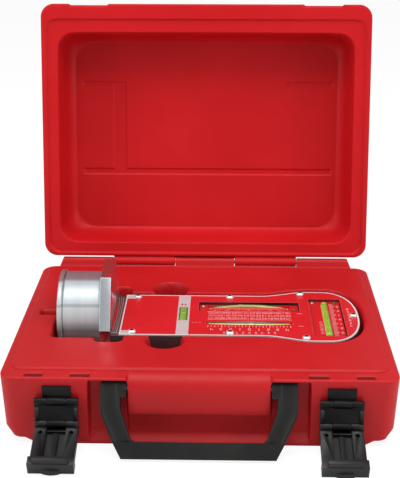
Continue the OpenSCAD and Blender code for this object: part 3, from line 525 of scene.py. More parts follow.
corner_x = case_w / 2 - corner_r
front_x = lines(0.0, corner_x, [63.0, 97.0, 95.0, 113.0, 137.0, 154.5], 1.6, 5.0)
front_x = np.concatenate([-front_x[:0:-1], front_x])
side_share = np.linspace(0, 1, 45)
corner_turn = np.radians(np.linspace(0, 90, 11))[1:-1]
front_kept = 120.0


def corner(cx, cy, r, start):
    """Points of a quarter circle from start, in degrees, without its two ends."""
    a = math.radians(start) + corner_turn
    return np.stack([cx + r * np.cos(a), cy + r * np.sin(a)], -1)


def outline(half_w, front, back, r, front_run):
    """Points counterclockwise around a rectangle with corners of radius r: the front from left
    to right at the places front_run, the right side, the back and the left side."""
    x_in, y_front, y_back = half_w - r, front + r, back - r
    sides = y_front + side_share * (y_back - y_front)
    return np.concatenate([
        np.stack([front_run, np.full_like(front_run, front)], -1),
        corner(x_in, y_front, r, -90),
        np.stack([np.full_like(sides, half_w), sides], -1),
        corner(x_in, y_back, r, 0),
        np.stack([-front_run, np.full_like(front_run, back)], -1),
        corner(-x_in, y_back, r, 90),
        np.stack([np.full_like(sides, -half_w), sides[::-1]], -1),
        corner(-x_in, y_front, r, 180)])


def stretch_ends(places, start, new_end):
    """Keeps places up to start either side of 0 and moves those beyond it so that the last
    one, which is where the case's corner begins, comes to new_end."""
    beyond = np.maximum(np.abs(places) - start, 0)
    return np.sign(places) * (np.minimum(np.abs(places), start)
                              + beyond * (new_end - start) / (corner_x - start))


def ring(shape, z):
    """A flat outline lifted to height z."""
    return np.concatenate([shape, np.broadcast_to(z, len(shape))[:, None]], 1)


def case_ring(inset, z, front_inset=None):
    """The case's outline at height z, its sides moved in by inset and its front and back by
    front_inset, or by inset too where that isn't given."""
    half_w = case_w / 2 - inset
    half_d = case_d / 2 - (inset if front_inset is None else front_inset)
    r = corner_r - min(inset, 9) * 0.6
    run = stretch_ends(front_x, front_kept, half_w - r)
    return ring(outline(half_w, -half_d, half_d, r, run), z)


# the rows of the skin from the deck outwards and down: the ledge, which starts under the deck,
# the round edge, the wall that leans in towards the foot, the chamfer and the foot; a row of
# the last two is inset, inset in front and z
tuck = 2.0
tuck_r = 10.0
tuck_foot_z = 3.0
edge_r = 2.2
edge_z = ledge_z - edge_r
foot_z = 15.0
wall_lean = 2.5
tuck_half_w = deck[1] - tuck
tuck_run = stretch_ends(front_x, front_kept, tuck_half_w - tuck_r)
under_deck = ring(outline(tuck_half_w, deck[2] + tuck, deck[3] - tuck, tuck_r, tuck_run), ledge_z)
edge_ring = case_ring(edge_r, ledge_z)
ledge_share = np.array([1, 0.7, 0.33, 0.27, 0.226, 0.107, 0.065, 0])
round_turn = np.radians(np.linspace(0, 90, 7))[1:]
wall_z = np.array([60, 58, 56, 54, 52, 50, 44, 38, 33.5, 31.8, 31.2, 30.8, 30.0,
                   26, 20, 17, 15.2])
chamfer_rows = [(3.2, 2.6, 13.9), (5.6, 2.8, 10.7), (8.0, 3.0, 7.5), (8.5, 3.0, 6.7)]
foot_rows = [(9.4, 3.05, 6.4), (15.4, 3.1, 6.3), (16.2, 3.1, 5.7), (25.4, 3.5, 0.6),
             (26.6, 4.2, 0.0)]
rings = [under_deck * (1, 1, 0) + (0, 0, tuck_foot_z)]
rings += [edge_ring * (1 - a) + under_deck * a for a in ledge_share]
rings += [case_ring(edge_r * (1 - math.sin(a)), edge_z + edge_r * math.cos(a))
          for a in round_turn]
rings += [case_ring(wall_lean * (edge_z - z) / (edge_z - foot_z), z) for z in wall_z]
rings += [case_ring(inset, z, front_in) for inset, front_in, z in chamfer_rows + foot_rows]
shell_grid = np.stack(rings)

# the front rows again, as the bulge and as a channel, down to the lip that closes the recess
# below; each row keeps its place in the grid, and a profile's points are y and z
front_count = len(front_x)
front = shell_grid[1:, :front_count]
bulge_half_w = 64.2
channel_half_w = 98.0
ledge_front_y = -116.0
bulge_back_y = -121.0
bulge_out = 13.3
bulge_middle_z = 50.0
bulge_turn = np.radians(np.linspace(90, 0, 13))[1:]
lip_rows = np.array([(-130.6, 3.8), (-131.3, 3.1), (-131.75, 2.4), (-131.7, 0.6), (-130.8, 0.0)])
bulge_low = np.array([(-134.3, 44), (-134.3, 38), (-134.2, 33.5), (-133.6, 31.5), (-132.4, 31.0),
                      (-126.2, 30.9), (-125.1, 30), (-125, 26), (-125, 20), (-125, 15.5),
                      (-125, 11), (-125.1, 9.3), (-125.7, 8.2), (-127, 6.9), (-129, 5.15)])
channel_low = np.array([(-122, z) for z in wall_z[6:13]]
                       + [(-122, 26), (-122, 20), (-122, 16), (-122, 13), (-122.1, 11.9),
                          (-122.8, 10.7), (-125.2, 8.4), (-128, 6.0)])
channel_top = np.array([(-134.4, 64.0), (-130, 63.9), (-124, 63.9), (-122.3, 63.6), (-122, 61),
                        (-122, 50)])
bulge_profile = np.concatenate([
    np.stack([np.linspace(ledge_front_y, bulge_back_y, 8), np.full(8, ledge_z)], -1),
    np.stack([bulge_back_y - bulge_out * np.cos(bulge_turn),
              bulge_middle_z + (ledge_z - bulge_middle_z) * np.sin(bulge_turn)], -1),
    bulge_low, lip_rows])
channel_profile = np.concatenate([front[:14, 0, 1:], channel_top, channel_low, lip_rows])
in_bulge = ease((bulge_half_w - np.abs(front_x)) / 2.4)[:, None]
in_channel = ease((channel_half_w - np.abs(front_x)) / 2.0)[:, None] * (1 - in_bulge)
front[..., 1:] = (front[..., 1:] * (1 - in_bulge - in_channel)
                  + bulge_profile[:, None] * in_bulge + channel_profile[:, None] * in_channel)

# four shallow slots in the ledge, each between two of the grid's rows: middle and half width
ledge_slots = ((104.0, 9.0), (145.75, 8.75))
slot_soft = 0.8
slot_depth = 2.6
slots = np.max([ease((half_w - np.abs(np.abs(front_x) - middle)) / slot_soft)
                for middle, half_w in ledge_slots], 0)
front[3:7, :, 2] -= slot_depth * slots
shell_rows, shell_columns = shell_grid.shape[:2]
first_row, last_row = (cap[::-1] for cap in end_caps(shell_rows, shell_columns))
base_skin = place_mesh("base_skin", shell_grid / 1000,
                       quads(shell_rows, shell_columns, True)[:, ::-1], case_red,
                       [last_row, first_row])

# painted shade: little light reaches the slots, so their faces are given a darker red
slot_shade_red = surface("slot_painted_shade", 0.0, 0.6, 0.7, 26.0, 0.00005, 420.0,
                   [(0.3, (0.130, 0.004, 0.005)), (0.7, (0.180, 0.006, 0.007))], gloss=0.1)
base_skin.data.materials.append(slot_shade_red)
slot_shade_grid = np.zeros((shell_rows - 1, shell_columns), np.int32)
slot_shade_grid[3:8, :front_count - 1] = np.minimum(slots[:-1], slots[1:]) > 0.3
slot_shade_faces = np.zeros(len(base_skin.data.polygons), np.int32)
slot_shade_faces[:slot_shade_grid.size] = slot_shade_grid.ravel()
base_skin.data.polygons.foreach_set("material_index", slot_shade_faces)
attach(base_skin, "case_base")
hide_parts("case_base_shell")

# ---------------------------------------------------------------------------
# Hinge: three plastic lugs on a shelf of the bottom half and two knuckles on the
# lid, moulded in one with their halves. Steel pins run through the round ends.
# ---------------------------------------------------------------------------

knuckle_r = 4.5
hinge_edge = 1.0


def round_end(start, stop):
    """Points in y and z of an arc about the hinge, between two angles in degrees."""
    a = np.radians(np.linspace(start, stop, 15))
    return np.stack([hinge_y + knuckle_r * np.cos(a), hinge_z + knuckle_r * np.sin(a)], -1)


lug_section = np.concatenate([[[133.6, 57.0], [135.2, 57.4]], round_end(-52, 168),
                              [[135.6, 67.4], [135.0, 66.2], [133.6, 65.2]]])
knuckle_section = np.concatenate([[[133.8, 69.6], [135.4, 69.3]], round_end(-150, 58),
                                  [[136.4, 79.6], [135.3, 80.8], [133.8, 80.9]]])


def in_metres(points_mm):
    """Turns points in millimetres into metres and leaves them where they are."""
    return points_mm / 1000


def bar_along_x(name, section, x0, x1, edge, material, place, slant=(0.0, 0.0)):
    """A bar with the given closed section in y and z, carried from x0 to x1. Its section is drawn
    in towards its centre over the last bit at both ends, and slant moves the two ends inwards
    at the top of the section. place turns points in millimetres into the scene's metres."""
    middle = section.mean(0)
    reach = np.abs(section - middle).max()
    stations = [(0, 1 - edge / reach), (0.3 * edge, 1 - 0.3 * edge / reach), (edge, 1.0)]
    stations += [(x1 - x0 - d, s) for d, s in stations[::-1]]
    stack = np.stack([np.concatenate([np.full((len(section), 1), x0 + d),
                                      middle + (section - middle) * s], 1)
                      for d, s in stations])
    height = (stack[..., 2] - stack[..., 2].min()) / np.ptp(stack[..., 2])
    stack[:3, :, 0] += slant[0] * height[:3]
    stack[3:, :, 0] -= slant[1] * height[3:]
    count = len(section)
    return place_mesh(name, place(stack), quads(len(stations), count, True), material,
                      end_caps(len(stations), count))


def paint(material, *names):
    """Gives CAD pieces that stay as they are their material."""
    for name in names:
        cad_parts[name].data.materials.clear()
        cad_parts[name].data.materials.append(material)


dark_steel = surface("oiled_steel_pin", 1.0, 0.32, 0.45, 120.0, 0.00003, 900.0,
                     [(0.3, (0.16, 0.16, 0.16)), (0.7, (0.24, 0.24, 0.24))])
paint(dark_steel, "hinge_pin_left", "hinge_pin_right")
shelf_section = np.array([[133.6, 57.2], [138.6, 62.6], [139.4, 64.2], [139.2, 65.4],
                          [138.0, 66.3], [136.6, 66.6], [133.6, 66.6]])
web_section = np.array([[133.8, 69.6], [135.7, 71.2], [138.2, 75.2], [137.8, 76.8],
                        [136.2, 79.4], [135.2, 80.7], [133.8, 80.9]])
hinge_parts = [("hinge_lug_1", lug_section, -162, -100, (7.5, 0)),
               ("hinge_lug_2", lug_section, -32, 32, (0, 0)),
               ("hinge_lug_3", lug_section, 100, 162, (0, 7.5)),
               ("hinge_shelf", shelf_section, -157, 157, (3, 3))]
for name, section, x0, x1, slant in hinge_parts:
    piece = bar_along_x(name, section, x0, x1, hinge_edge, case_red, in_metres, slant)
    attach(piece, "case_base")
for name, section, x0, x1 in (("lid_knuckle_1", knuckle_section, -99.4, -32.6),
                              ("lid_knuckle_2", knuckle_section, 32.6, 99.4),
                              ("lid_web", web_section, -34, 34)):
    piece = bar_along_x(name, section, x0, x1, hinge_edge, lid_red, turned_open)
    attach(piece, "lid")

# ---------------------------------------------------------------------------
# Lid, outer skin: drafted walls, a round shoulder and a shallow panel on top,
# with the recesses that the latch levers close into. Blow-moulded in one with
# the lining.
# ---------------------------------------------------------------------------

lid_front_x = lines(0.0, corner_x, [103.5, 108.0, 140.0, 144.5], 1.2, 6.0)
lid_front_x = np.concatenate([-lid_front_x[:0:-1], lid_front_x])
lid_front_kept = 146.0
catch_top_z = 83.2
# the slot in each recess that the lever's hook enters
hook_half_w = 16.4
hook_inset = 3.0
hook_z = (69.4, 75.8)
# rows of the skin, as inset and height: up the wall, over the shoulder and on to the top panel
shoulder_foot = (2.5, 113.4)
shoulder_in = 8.0
shoulder_up = 10.3
shoulder_turn = np.radians(np.linspace(0, 90, 8))
wall_rows = [(0.0, 69.1), (0.05, 69.7), (0.1, 70.6), (0.3, 74.6), (0.36, 75.4), (0.42, 76.2),
             (0.6, 80.0), (0.7, 82.0), (0.78, 82.8), (0.84, 83.6), (1.2, 90.0), (1.8, 100.0),
             (2.3, 110.0)]
lid_rows = wall_rows + [(shoulder_foot[0] + shoulder_in * (1 - math.cos(a)),
                         shoulder_foot[1] + shoulder_up * math.sin(a)) for a in shoulder_turn]
lid_rows += [(16.0, 123.8), (22.0, 123.8), (23.2, 123.4), (24.6, 122.6), (26.0, 122.4)]
lid_rings = []
for inset, z in lid_rows:
    half_w, half_d = case_w / 2 - inset, case_d / 2 - inset
    radius = max(corner_r - inset * 0.25, 7)
    run = stretch_ends(lid_front_x, lid_front_kept, half_w - radius)
    lid_rings.append(ring(outline(half_w, -half_d, half_d, radius, run), z))
lid_grid = np.stack(lid_rings)
from_catch = np.abs(np.abs(lid_front_x) - catch_x)
for row, (inset, z) in enumerate(wall_rows):
    in_catch = ease((catch_half_w - from_catch) / catch_soft) * float(ease(catch_top_z - z))
    in_slot = (ease((hook_half_w - from_catch) / catch_soft)
               * float(ease((z - hook_z[0]) / catch_soft))
               * float(ease((hook_z[1] - z) / catch_soft)))
    into = catch_inset * in_catch + hook_inset * in_slot
    lid_grid[row, :len(lid_front_x), 1] += into * (1 - inset / 4)
lid_count, lid_around = lid_grid.shape[:2]
lid_skin = place_mesh("lid_skin", turned_open(lid_grid), quads(lid_count, lid_around, True),
                      lid_red, end_caps(lid_count, lid_around)[1:])
skin_from(lid_skin, skin_wall)
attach(lid_skin, "lid")
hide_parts("case_lid_shell")

# ---------------------------------------------------------------------------
# Handle: one black nylon moulding. Two arms widen from their pivots and turn
# into the grip. The arms' front is a shallow panel between two round ridges, the
# grip's is a flat plate, and a square boss stands inwards at each steel pin.
# ---------------------------------------------------------------------------

handle_pivot = (0.0, -129.0, 55.0)
handle_lean_deg = 27.3
arm_top = -6.0
arm_round = 5.0
arm_end_share = 0.35
outer_line = np.array([[85.6, -6.0], [86, 0], [86, 22], [74, 49], [66, 59.6], [0, 59.6]])
inner_line = np.array([[69.5, -6.0], [69, 0], [68, 20.5], [59, 44.5], [56, 47.2], [0, 47.2]])
black_nylon = surface("black_textured_nylon", 0.0, 0.36, 0.50, 60.0, 0.00006, 1500.0,
                      [(0.3, (0.0060, 0.0060, 0.0058)), (0.7, (0.0120, 0.0120, 0.0116))],
                      gloss=0.36)
# painted shade: a darker copy of the black nylon, with a finer relief, for latch parts that stand
# in shade
shade_black_nylon = surface("black_nylon_painted_shade", 0.0, 0.42, 0.55, 60.0, 0.00003, 1500.0,
                     [(0.3, (0.0020, 0.0020, 0.0020)), (0.7, (0.0045, 0.0045, 0.0043))],
                     gloss=0.22)


def along_line(line):
    """The corners of a line joined by points a stretch apart, then rounded by averaging
    twice."""
    stretch = np.linspace(0, 1, 14, endpoint=False)[:, None]
    parts = [a + (b - a) * stretch for a, b in zip(line[:-1], line[1:])]
    points = np.concatenate(parts + [line[-1:]])
    for _ in range(2):
        points[1:-1] = (points[:-2] + 2 * points[1:-1] + points[2:]) / 4
    return points


def turned_handle(points_mm):
    """Leans points of the upright handle about its pivot line, in metres."""
    a = math.radians(-handle_lean_deg)
    y, z = points_mm[..., 1], points_mm[..., 2]
    return np.stack([points_mm[..., 0], handle_pivot[1] + y * math.cos(a) - z * math.sin(a),
                     handle_pivot[2] + y * math.sin(a) + z * math.cos(a)], -1) / 1000


outer_path, inner_path = (np.concatenate([half * (-1, 1), half[-2::-1]])
                          for half in (along_line(outer_line), along_line(inner_line)))
# section: the side it is measured from, the distance in from that side, and how far forward
handle_section = [(1, 0, 3.7), (1, 0.4, 4.9), (1, 1.4, 5.45), (1, 2.3, 5.3), (1, 3.2, 4.5),
                  (0, 3.2, 4.5), (0, 2.3, 5.3), (0, 1.4, 5.45), (0, 0.4, 4.9), (0, 0, 3.7),
                  (0, 0, -2.2), (0, 0.5, -3.1), (0, 1.4, -3.5), (1, 1.8, -3.5), (1, 0.8, -3.1),
                  (1, 0.3, -2.2)]
span = outer_path - inner_path
width = np.hypot(span[:, 0], span[:, 1])[:, None]
from_top = np.clip((outer_path[:, 1] - arm_top) / arm_round, 0, 1)
fullness = arm_end_share + (1 - arm_end_share) * np.sqrt(1 - (1 - from_top) ** 2)
steps = []
for side, inward, forward in handle_section:
    flat = (outer_path - span / width * inward) if side else (inner_path + span / width * inward)
    steps.append(np.stack([flat[:, 0], -(1.0 + (forward - 1.0) * fullness), -flat[:, 1]], -1))
handle_grid = np.stack(steps, 1)
handle = place_mesh("handle_moulding", turned_handle(handle_grid),
                    quads(len(outer_path), len(handle_section), True), black_nylon,
                    end_caps(len(outer_path), len(handle_section)))
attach(handle, "handle")
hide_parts("carry_handle")

paint(dark_steel, "handle_pins")

# the grip's flat front, a plate as wide as the arms' outer sides, in front of their lower ends
grip_outline = np.array([[-73.6, 47.4], [-66.6, 60.6], [66.6, 60.6], [73.6, 47.4]])
grip_front = (3.0, 6.1)
grip_points = np.concatenate([
    np.stack([grip_outline[:, 0], np.full(4, -forward), -grip_outline[:, 1]], -1)
    for forward in grip_front])
grip_plate = place_mesh(
    "handle_grip_front", turned_handle(grip_points),
    np.array([(0, 3, 7, 4), (1, 0, 4, 5), (2, 1, 5, 6), (3, 2, 6, 7)])[:, ::-1], black_nylon,
    [(0, 1, 2, 3), (7, 6, 5, 4)])
grip_edge = grip_plate.modifiers.new("round_edge", "BEVEL")
grip_edge.width = 0.0008
grip_edge.segments = 3
grip_edge.limit_method = "ANGLE"
grip_edge.harden_normals = True
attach(grip_plate, "handle")

boss_section = np.array([[-5.2, -8.2], [-4.6, -9.0], [2.4, -9.0], [3.2, -8.2], [3.2, 4.6],
                         [2.4, 5.4], [-4.6, 5.4], [-5.2, 4.6]])
for name, x0, x1 in (("handle_boss_left", -71.0, -63.4), ("handle_boss_right", 63.4, 71.0)):
    boss = bar_along_x(name, boss_section, x0, x1, 0.5, black_nylon, turned_handle)
    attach(boss, "handle")

# ---------------------------------------------------------------------------
# Latches: two over-centre latches of black nylon on steel pins. A block holds
# the link's pin, the link holds the lever's pin, and the lever closes over the
# lid's catch. Their edges are rounded by the mould.
# ---------------------------------------------------------------------------

weld_distance = 2e-6
flat_angle = math.radians(1.0)
sharp_angle = math.radians(25)


def rounded_copy(node_name, name, radius, material, body, segments=2):
    """A copy of a CAD part with its facets merged into whole faces and its edges rounded."""
    shape = bmesh.new()
    shape.from_mesh(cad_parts[node_name].data)
    bmesh.ops.remove_doubles(shape, verts=shape.verts, dist=weld_distance)
    bmesh.ops.dissolve_limit(shape, angle_limit=flat_angle, verts=shape.verts,
                             edges=shape.edges, use_dissolve_boundaries=False)
    mesh = bpy.data.meshes.new(name)
    shape.to_mesh(mesh)
    shape.free()
    mesh.polygons.foreach_set("use_smooth", [True] * len(mesh.polygons))
    mesh.materials.clear()
    mesh.materials.append(material)
    piece = bpy.data.objects.new(name, mesh)
    bpy.context.scene.collection.objects.link(piece)
    rounding = piece.modifiers.new("rounding", "BEVEL")
    rounding.width = radius
    rounding.segments = segments
    rounding.limit_method = "ANGLE"
    rounding.angle_limit = sharp_angle
    rounding.harden_normals = True
    rounding.use_clamp_overlap = True
    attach(piece, body)
    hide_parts(node_name)


# the latch blocks and links take the darker black as painted shade, the levers the plain black
# nylon
for side in ("left", "right"):
    rounded_copy(f"latch_bracket_{side}", f"latch_block_{side}", 0.0006, shade_black_nylon,
                 "case_base")
    rounded_copy(f"latch_link_{side}", f"latch_strap_{side}", 0.0005, shade_black_nylon,
                 f"link_{side}")
    rounded_copy(f"latch_lever_{side}", f"latch_arm_{side}", 0.0005, black_nylon,
                 f"lever_{side}")
    paint(dark_steel, f"latch_hinge_pin_{side}", f"latch_lever_pin_{side}")

# a thin rail along each side of the links, and at the root of each lever's web a curled dark
# plate, painted shade that closes the gap there, given about the lever's pin with the lever closed
# and turned to where it hangs open; both as y and z
link_half_w = 18.6
rail_w = 3.2
web_half_w = 8.3
latch_edge = 0.3
lever_pin_y, lever_pin_z = -142.0, 26.0
lever_turn = math.radians(110)
link_rail = np.array([[-141.15, 41.3], [-144.0, 30.0], [-142.6, 30.0], [-139.8, 41.3]])
closed_shade_plate = np.array([[-9.0, 4.8], [-9.0, -2.5], [-7.9, -5.0], [-6.7, -4.4], [-7.7, -2.2],
                        [-7.7, 4.8]])
root_y, root_z = closed_shade_plate.T
shade_plate_section = np.stack([
    lever_pin_y + root_y * math.cos(lever_turn) - root_z * math.sin(lever_turn),
    lever_pin_z + root_y * math.sin(lever_turn) + root_z * math.cos(lever_turn)], -1)
for side, middle in (("left", -catch_x), ("right", catch_x)):
    for end, x0 in (("a", middle - link_half_w), ("b", middle + link_half_w - rail_w)):
        rail = bar_along_x(f"link_rail_{side}_{end}", link_rail, x0, x0 + rail_w, latch_edge,
                           black_nylon, in_metres)
        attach(rail, f"link_{side}")
    shade_plate = bar_along_x(f"lever_shade_plate_{side}", shade_plate_section, middle - web_half_w,
                       middle + web_half_w, latch_edge, shade_black_nylon, in_metres)
    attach(shade_plate, f"lever_{side}")

# ---------------------------------------------------------------------------
# Gauge, frame: one aluminium die casting, tumbled to a satin skin, closed below
# by a sheet cover, and painted dark as painted shade. The cutter that hollowed
# the end facing the flange left its rings there; a red strip in the hollow is a
# painted reflection of the red label.
# ---------------------------------------------------------------------------

# painted shade: the casting's aluminium is given a dark colour for its sides, which stand in
# shadow in the pocket
cast_alu_shaded = surface("cast_aluminium_painted_shade", 0.75, 0.36, 0.50, 90.0, 0.00005, 1100.0,
                   [(0.3, (0.11, 0.095, 0.095)), (0.7, (0.17, 0.155, 0.155))], edge=0.0005)
cut_alu = surface("ring_cut_aluminium", 0.6, 0.30, 0.42, 200.0, 0.00002, 1500.0,
                  [(0.3, (0.11, 0.085, 0.08)), (0.7, (0.17, 0.14, 0.13))])
# painted highlight: a lighter copy of the cut aluminium for the bright bands on the rings
cut_alu_highlight = surface("cut_aluminium_painted_highlight", 0.5, 0.30, 0.42, 200.0, 0.00002, 1500.0,
                     [(0.3, (0.40, 0.36, 0.36)), (0.7, (0.52, 0.48, 0.48))])
steel = surface("zinc_plated_steel", 1.0, 0.24, 0.38, 120.0, 0.00004, 900.0,
                [(0.3, (0.40, 0.41, 0.42)), (0.7, (0.52, 0.53, 0.54))])
paint(cast_alu_shaded, "gauge_body", "back_cover")
paint(steel, "back_screws")

label_red = surface("red_label_print", 0.0, 0.30, 0.40, 60.0, 0.00001, 1400.0,
                    [(0.3, (0.56, 0.0110, 0.016)), (0.7, (0.62, 0.0150, 0.021))], gloss=0.45)
# the hollow runs across the casting's end, from an arc on the flange's side to a straight edge
hollow_r = 485.0
hollow_centre_x = -569.0
hollow_edge_x = -78.05
hollow_y = np.linspace(-43.0, 43.0, 45)[:, None]
hollow_x = hollow_centre_x + np.sqrt(hollow_r ** 2 - hollow_y ** 2)
reflection_y, reflection_x = hollow_y[4:-4], hollow_x[4:-4]
reflection_edge_x = -85.95


def strip_along_y(name, near_x, far_x, share, lift, y, material):
    """A closed strip whose section runs from near_x to far_x at the given shares and heights
    and changes with y from row to row."""
    x = near_x + (far_x - near_x) * share
    points = np.stack([x, y + gauge_y + 0 * x, lift + 0 * x], -1) / 1000
    count = len(share)
    strip = place_mesh(name, points, quads(len(y), count, True), material,
                       end_caps(len(y), count))
    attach(strip, "gauge")


def across_hollow(share):
    """Places along x at a share of the way across the hollow, from its arc to its edge."""
    return hollow_x * (1 - share) + hollow_edge_x * share


# four scallops of a rounded sine, three painted highlights on them as bands of a lighter
# aluminium, and beside them a red strip that is a painted reflection of the red label
ring_count = 4
ring_foot_z = 65.55
ring_height = 0.24
ring_share = np.linspace(0, 1, 61)
ring_lift = (ring_foot_z
             + ring_height * np.abs(np.sin(ring_share * ring_count * math.pi)) ** 1.5)
strip_along_y("frame_cut_rings", hollow_x, hollow_edge_x, np.append(ring_share, [1.0, 0.0]),
              np.append(ring_lift, [65.2, 65.2]), hollow_y, cut_alu)
band_share = np.array([0, 0.2, 0.8, 1, 1, 0])
band_lift = np.array([65.7, 65.84, 65.84, 65.7, 65.3, 65.3])
for k, (band_from, band_to) in enumerate(((0.05, 0.14), (0.33, 0.42), (0.58, 0.72))):
    strip_along_y(f"frame_highlight_ring_{k + 1}", across_hollow(band_from), across_hollow(band_to),
                  band_share, band_lift, hollow_y, cut_alu_highlight)
# painted reflection: a red strip beside the rings, in the label's red
reflection_share = np.array([0, 0.1, 0.9, 1, 1, 0])
reflection_lift = np.array([65.0, 65.3, 65.3, 65.0, 60.0, 60.0])
strip_along_y("frame_red_reflection", np.full_like(reflection_y, reflection_edge_x), reflection_x, reflection_share, reflection_lift,
              reflection_y, label_red)

# ---------------------------------------------------------------------------
# Gauge, label plate: a 1 mm aluminium plate screwed on the casting, printed
# red up to a bright border, with one strip left bare beside the small level.
# Ticks and plain numbers are thin lines of white ink on the red film.
# ---------------------------------------------------------------------------

plate_top = 66.5
film_top = 66.58
ink_thick = 0.05
border_thick = 0.05
label_left = -77.75
border_inset = 0.25
border_w = 1.6
border_left_w = 1.1
print_inset = 1.9
print_left = -12.5
screw_head_r = 3.9
bare_alu = surface("satin_rolled_aluminium", 0.40, 0.40, 0.52, 90.0, 0.00001, 1400.0,
                   [(0.3, (0.62, 0.60, 0.62)), (0.7, (0.70, 0.68, 0.70))],
                   stretch=(0.06, 1, 1))
edge_alu = surface("bright_label_border", 0.30, 0.34, 0.42, 90.0, 0.00001, 1400.0,
                   [(0.3, (0.80, 0.78, 0.79)), (0.7, (0.88, 0.86, 0.87))])
white_ink = surface("white_ink", 0.0, 0.45, 0.6, 200.0, 0.00001, 2000.0,
                    [(0.3, (0.74, 0.56, 0.57)), (0.7, (0.84, 0.68, 0.69))])
red_ink = surface("red_ink", 0.0, 0.40, 0.5, 200.0, 0.00001, 2000.0,
                  [(0.3, (0.42, 0.02, 0.05)), (0.7, (0.52, 0.03, 0.06))])
# painted shade for the windows' walls
window_shade_black = surface("window_wall_painted_shade", 0.0, 0.55, 0.7, 200.0, 0.00001, 1500.0,
                    [(0.38, (0.020, 0.006, 0.006)), (0.58, (0.20, 0.020, 0.025))], cloud=16.0,
                    gloss=0.2)
paint(bare_alu, "face_plate")


def gauge_outline(inset, left):
    """The gauge's outline counterclockwise from its lower left corner, moved in by inset:
    straight sides, the flare and the superellipse end."""
    x_run = np.concatenate([[left], np.linspace(flare_x, flare_x + flare_run, 17)])
    flare = ease((x_run - flare_x) / flare_run)
    lower = np.stack([x_run, -(gauge_half_w + flare_out * flare - inset)], -1)
    turn = np.radians(np.linspace(-90, 90, 49))
    power = 2 / end_power
    end = np.stack([end_x + (end_reach - inset) * np.abs(np.cos(turn)) ** power,
                    (end_half_w - inset) * np.sign(np.sin(turn)) * np.abs(np.sin(turn)) ** power],
                   -1)
    upper = lower[::-1] * (1, -1)
    return np.concatenate([lower, end, upper])


def circle(cx, cy, r):
    """Points counterclockwise around a circle."""
    a = np.linspace(0, 2 * math.pi, 24, endpoint=False)
    return np.stack([cx + r * np.cos(a), cy + r * np.sin(a)], -1)


def rectangle(x0, x1, y0, y1):
    """Points counterclockwise around a rectangle."""
    return np.array([[x0, y0], [x1, y0], [x1, y1], [x0, y1]])


def in_polygon(points, loop):
    """True for the points inside the closed loop, by counting crossings of a ray."""
    x, y = points[:, :1], points[:, 1:]
    ax, ay = loop[:, 0], loop[:, 1]
    bx, by = np.roll(ax, -1), np.roll(ay, -1)
    crosses = (ay > y) != (by > y)
    where = ax + (y - ay) * (bx - ax) / np.where(by == ay, 1e-9, by - ay)
    return (np.sum(crosses & (x < where), 1) % 2) == 1


def sheet_from(name, outer, holes, z0, z1, material):
    """A flat sheet on the gauge between two heights from an outline and its holes, in
    millimetres from the gauge's centre line. Its top and its bottom are triangles of the
    outline without the holes, and its sides follow every edge."""
    loops = [loop + (0, gauge_y) for loop in [outer] + holes]
    flat = np.concatenate(loops)
    starts = np.cumsum([0] + [len(loop) for loop in loops])
    edges = [(starts[i] + k, starts[i] + (k + 1) % len(loop))
             for i, loop in enumerate(loops) for k in range(len(loop))]
    points, _, triangles, *_ = geometry.delaunay_2d_cdt(
        [Vector(p) for p in flat.tolist()], edges, [], 1, 1e-6)
    points = np.array([(p.x, p.y) for p in points])
    triangles = np.array([t for t in triangles if len(t) == 3])
    centres = points[triangles].mean(1)
    keep = in_polygon(centres, loops[0])
    for hole in loops[1:]:
        keep &= ~in_polygon(centres, hole)
    triangles = triangles[keep]
    a, b, c = (points[triangles[:, k]] for k in range(3))
    turn = (b[:, 0] - a[:, 0]) * (c[:, 1] - a[:, 1]) - (b[:, 1] - a[:, 1]) * (c[:, 0] - a[:, 0])
    triangles[turn < 0] = triangles[turn < 0][:, ::-1]
    count = len(points)
    stack = np.concatenate([np.concatenate([points, np.full((count, 1), z)], 1)
                            for z in (z1, z0)])
    around = triangles[:, [0, 1, 1, 2, 2, 0]].reshape(-1, 2)
    pairs = set(map(tuple, around.tolist()))
    rim = [(i, j) for i, j in pairs if (j, i) not in pairs]
    sides = [(j, i, i + count, j + count) for i, j in rim]
    sheet = place_mesh(name, stack / 1000, triangles, material,
                       list(map(tuple, (triangles[:, ::-1] + count).tolist())) + sides, False)
    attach(sheet, "gauge")


screw_places = [(-66, 42.5), (-66, -42.5), (27, 43.5), (27, -43.5), (98.5, 53), (98.5, -53),
                (147.5, 0)]
# the camber vial's window, a long lens with blunt ends
lens_from, lens_to, lens_y, lens_half_w = 2.6, 88.4, -20.0, 3.8
lens_share = np.linspace(0, 1, 41)
lens_half = lens_half_w * np.sin(lens_share * math.pi).clip(0) ** 0.35
camber_slot = np.concatenate([
    np.stack([lens_from + (lens_to - lens_from) * lens_share, lens_y - lens_half], -1),
    np.stack([lens_to - (lens_to - lens_from) * lens_share, lens_y + lens_half], -1)[1:-1]])
left_print = np.array([
    [-66.0, -46.8], [-24.5, -46.8], [-24.5, 46.8], [-66.0, 46.8], [-66.0, 40.5], [-66.6, 39.2],
    [-68.2, 38.6], [-75.2, 38.6], [-76.6, 37.6], [-76.6, -37.6], [-75.2, -38.6], [-68.2, -38.6],
    [-66.6, -39.2], [-66.0, -40.5]])
windows = [rectangle(-4.1, 96.1, 9.3, 31.6), rectangle(105.9, 138.1, -47.7, 41.6)]
print_holes = [circle(x, y, screw_head_r) for x, y in screw_places[2:]]
print_holes += windows + [camber_slot]
sheet_from("label_print_left", left_print, [],
           plate_top, film_top, label_red)
sheet_from("label_print_right", gauge_outline(print_inset, print_left), print_holes,
           plate_top, film_top, label_red)
sheet_from("label_bright_border", gauge_outline(border_inset, label_left),
           [gauge_outline(border_inset + border_w, label_left + border_left_w)],
           plate_top, plate_top + border_thick, edge_alu)
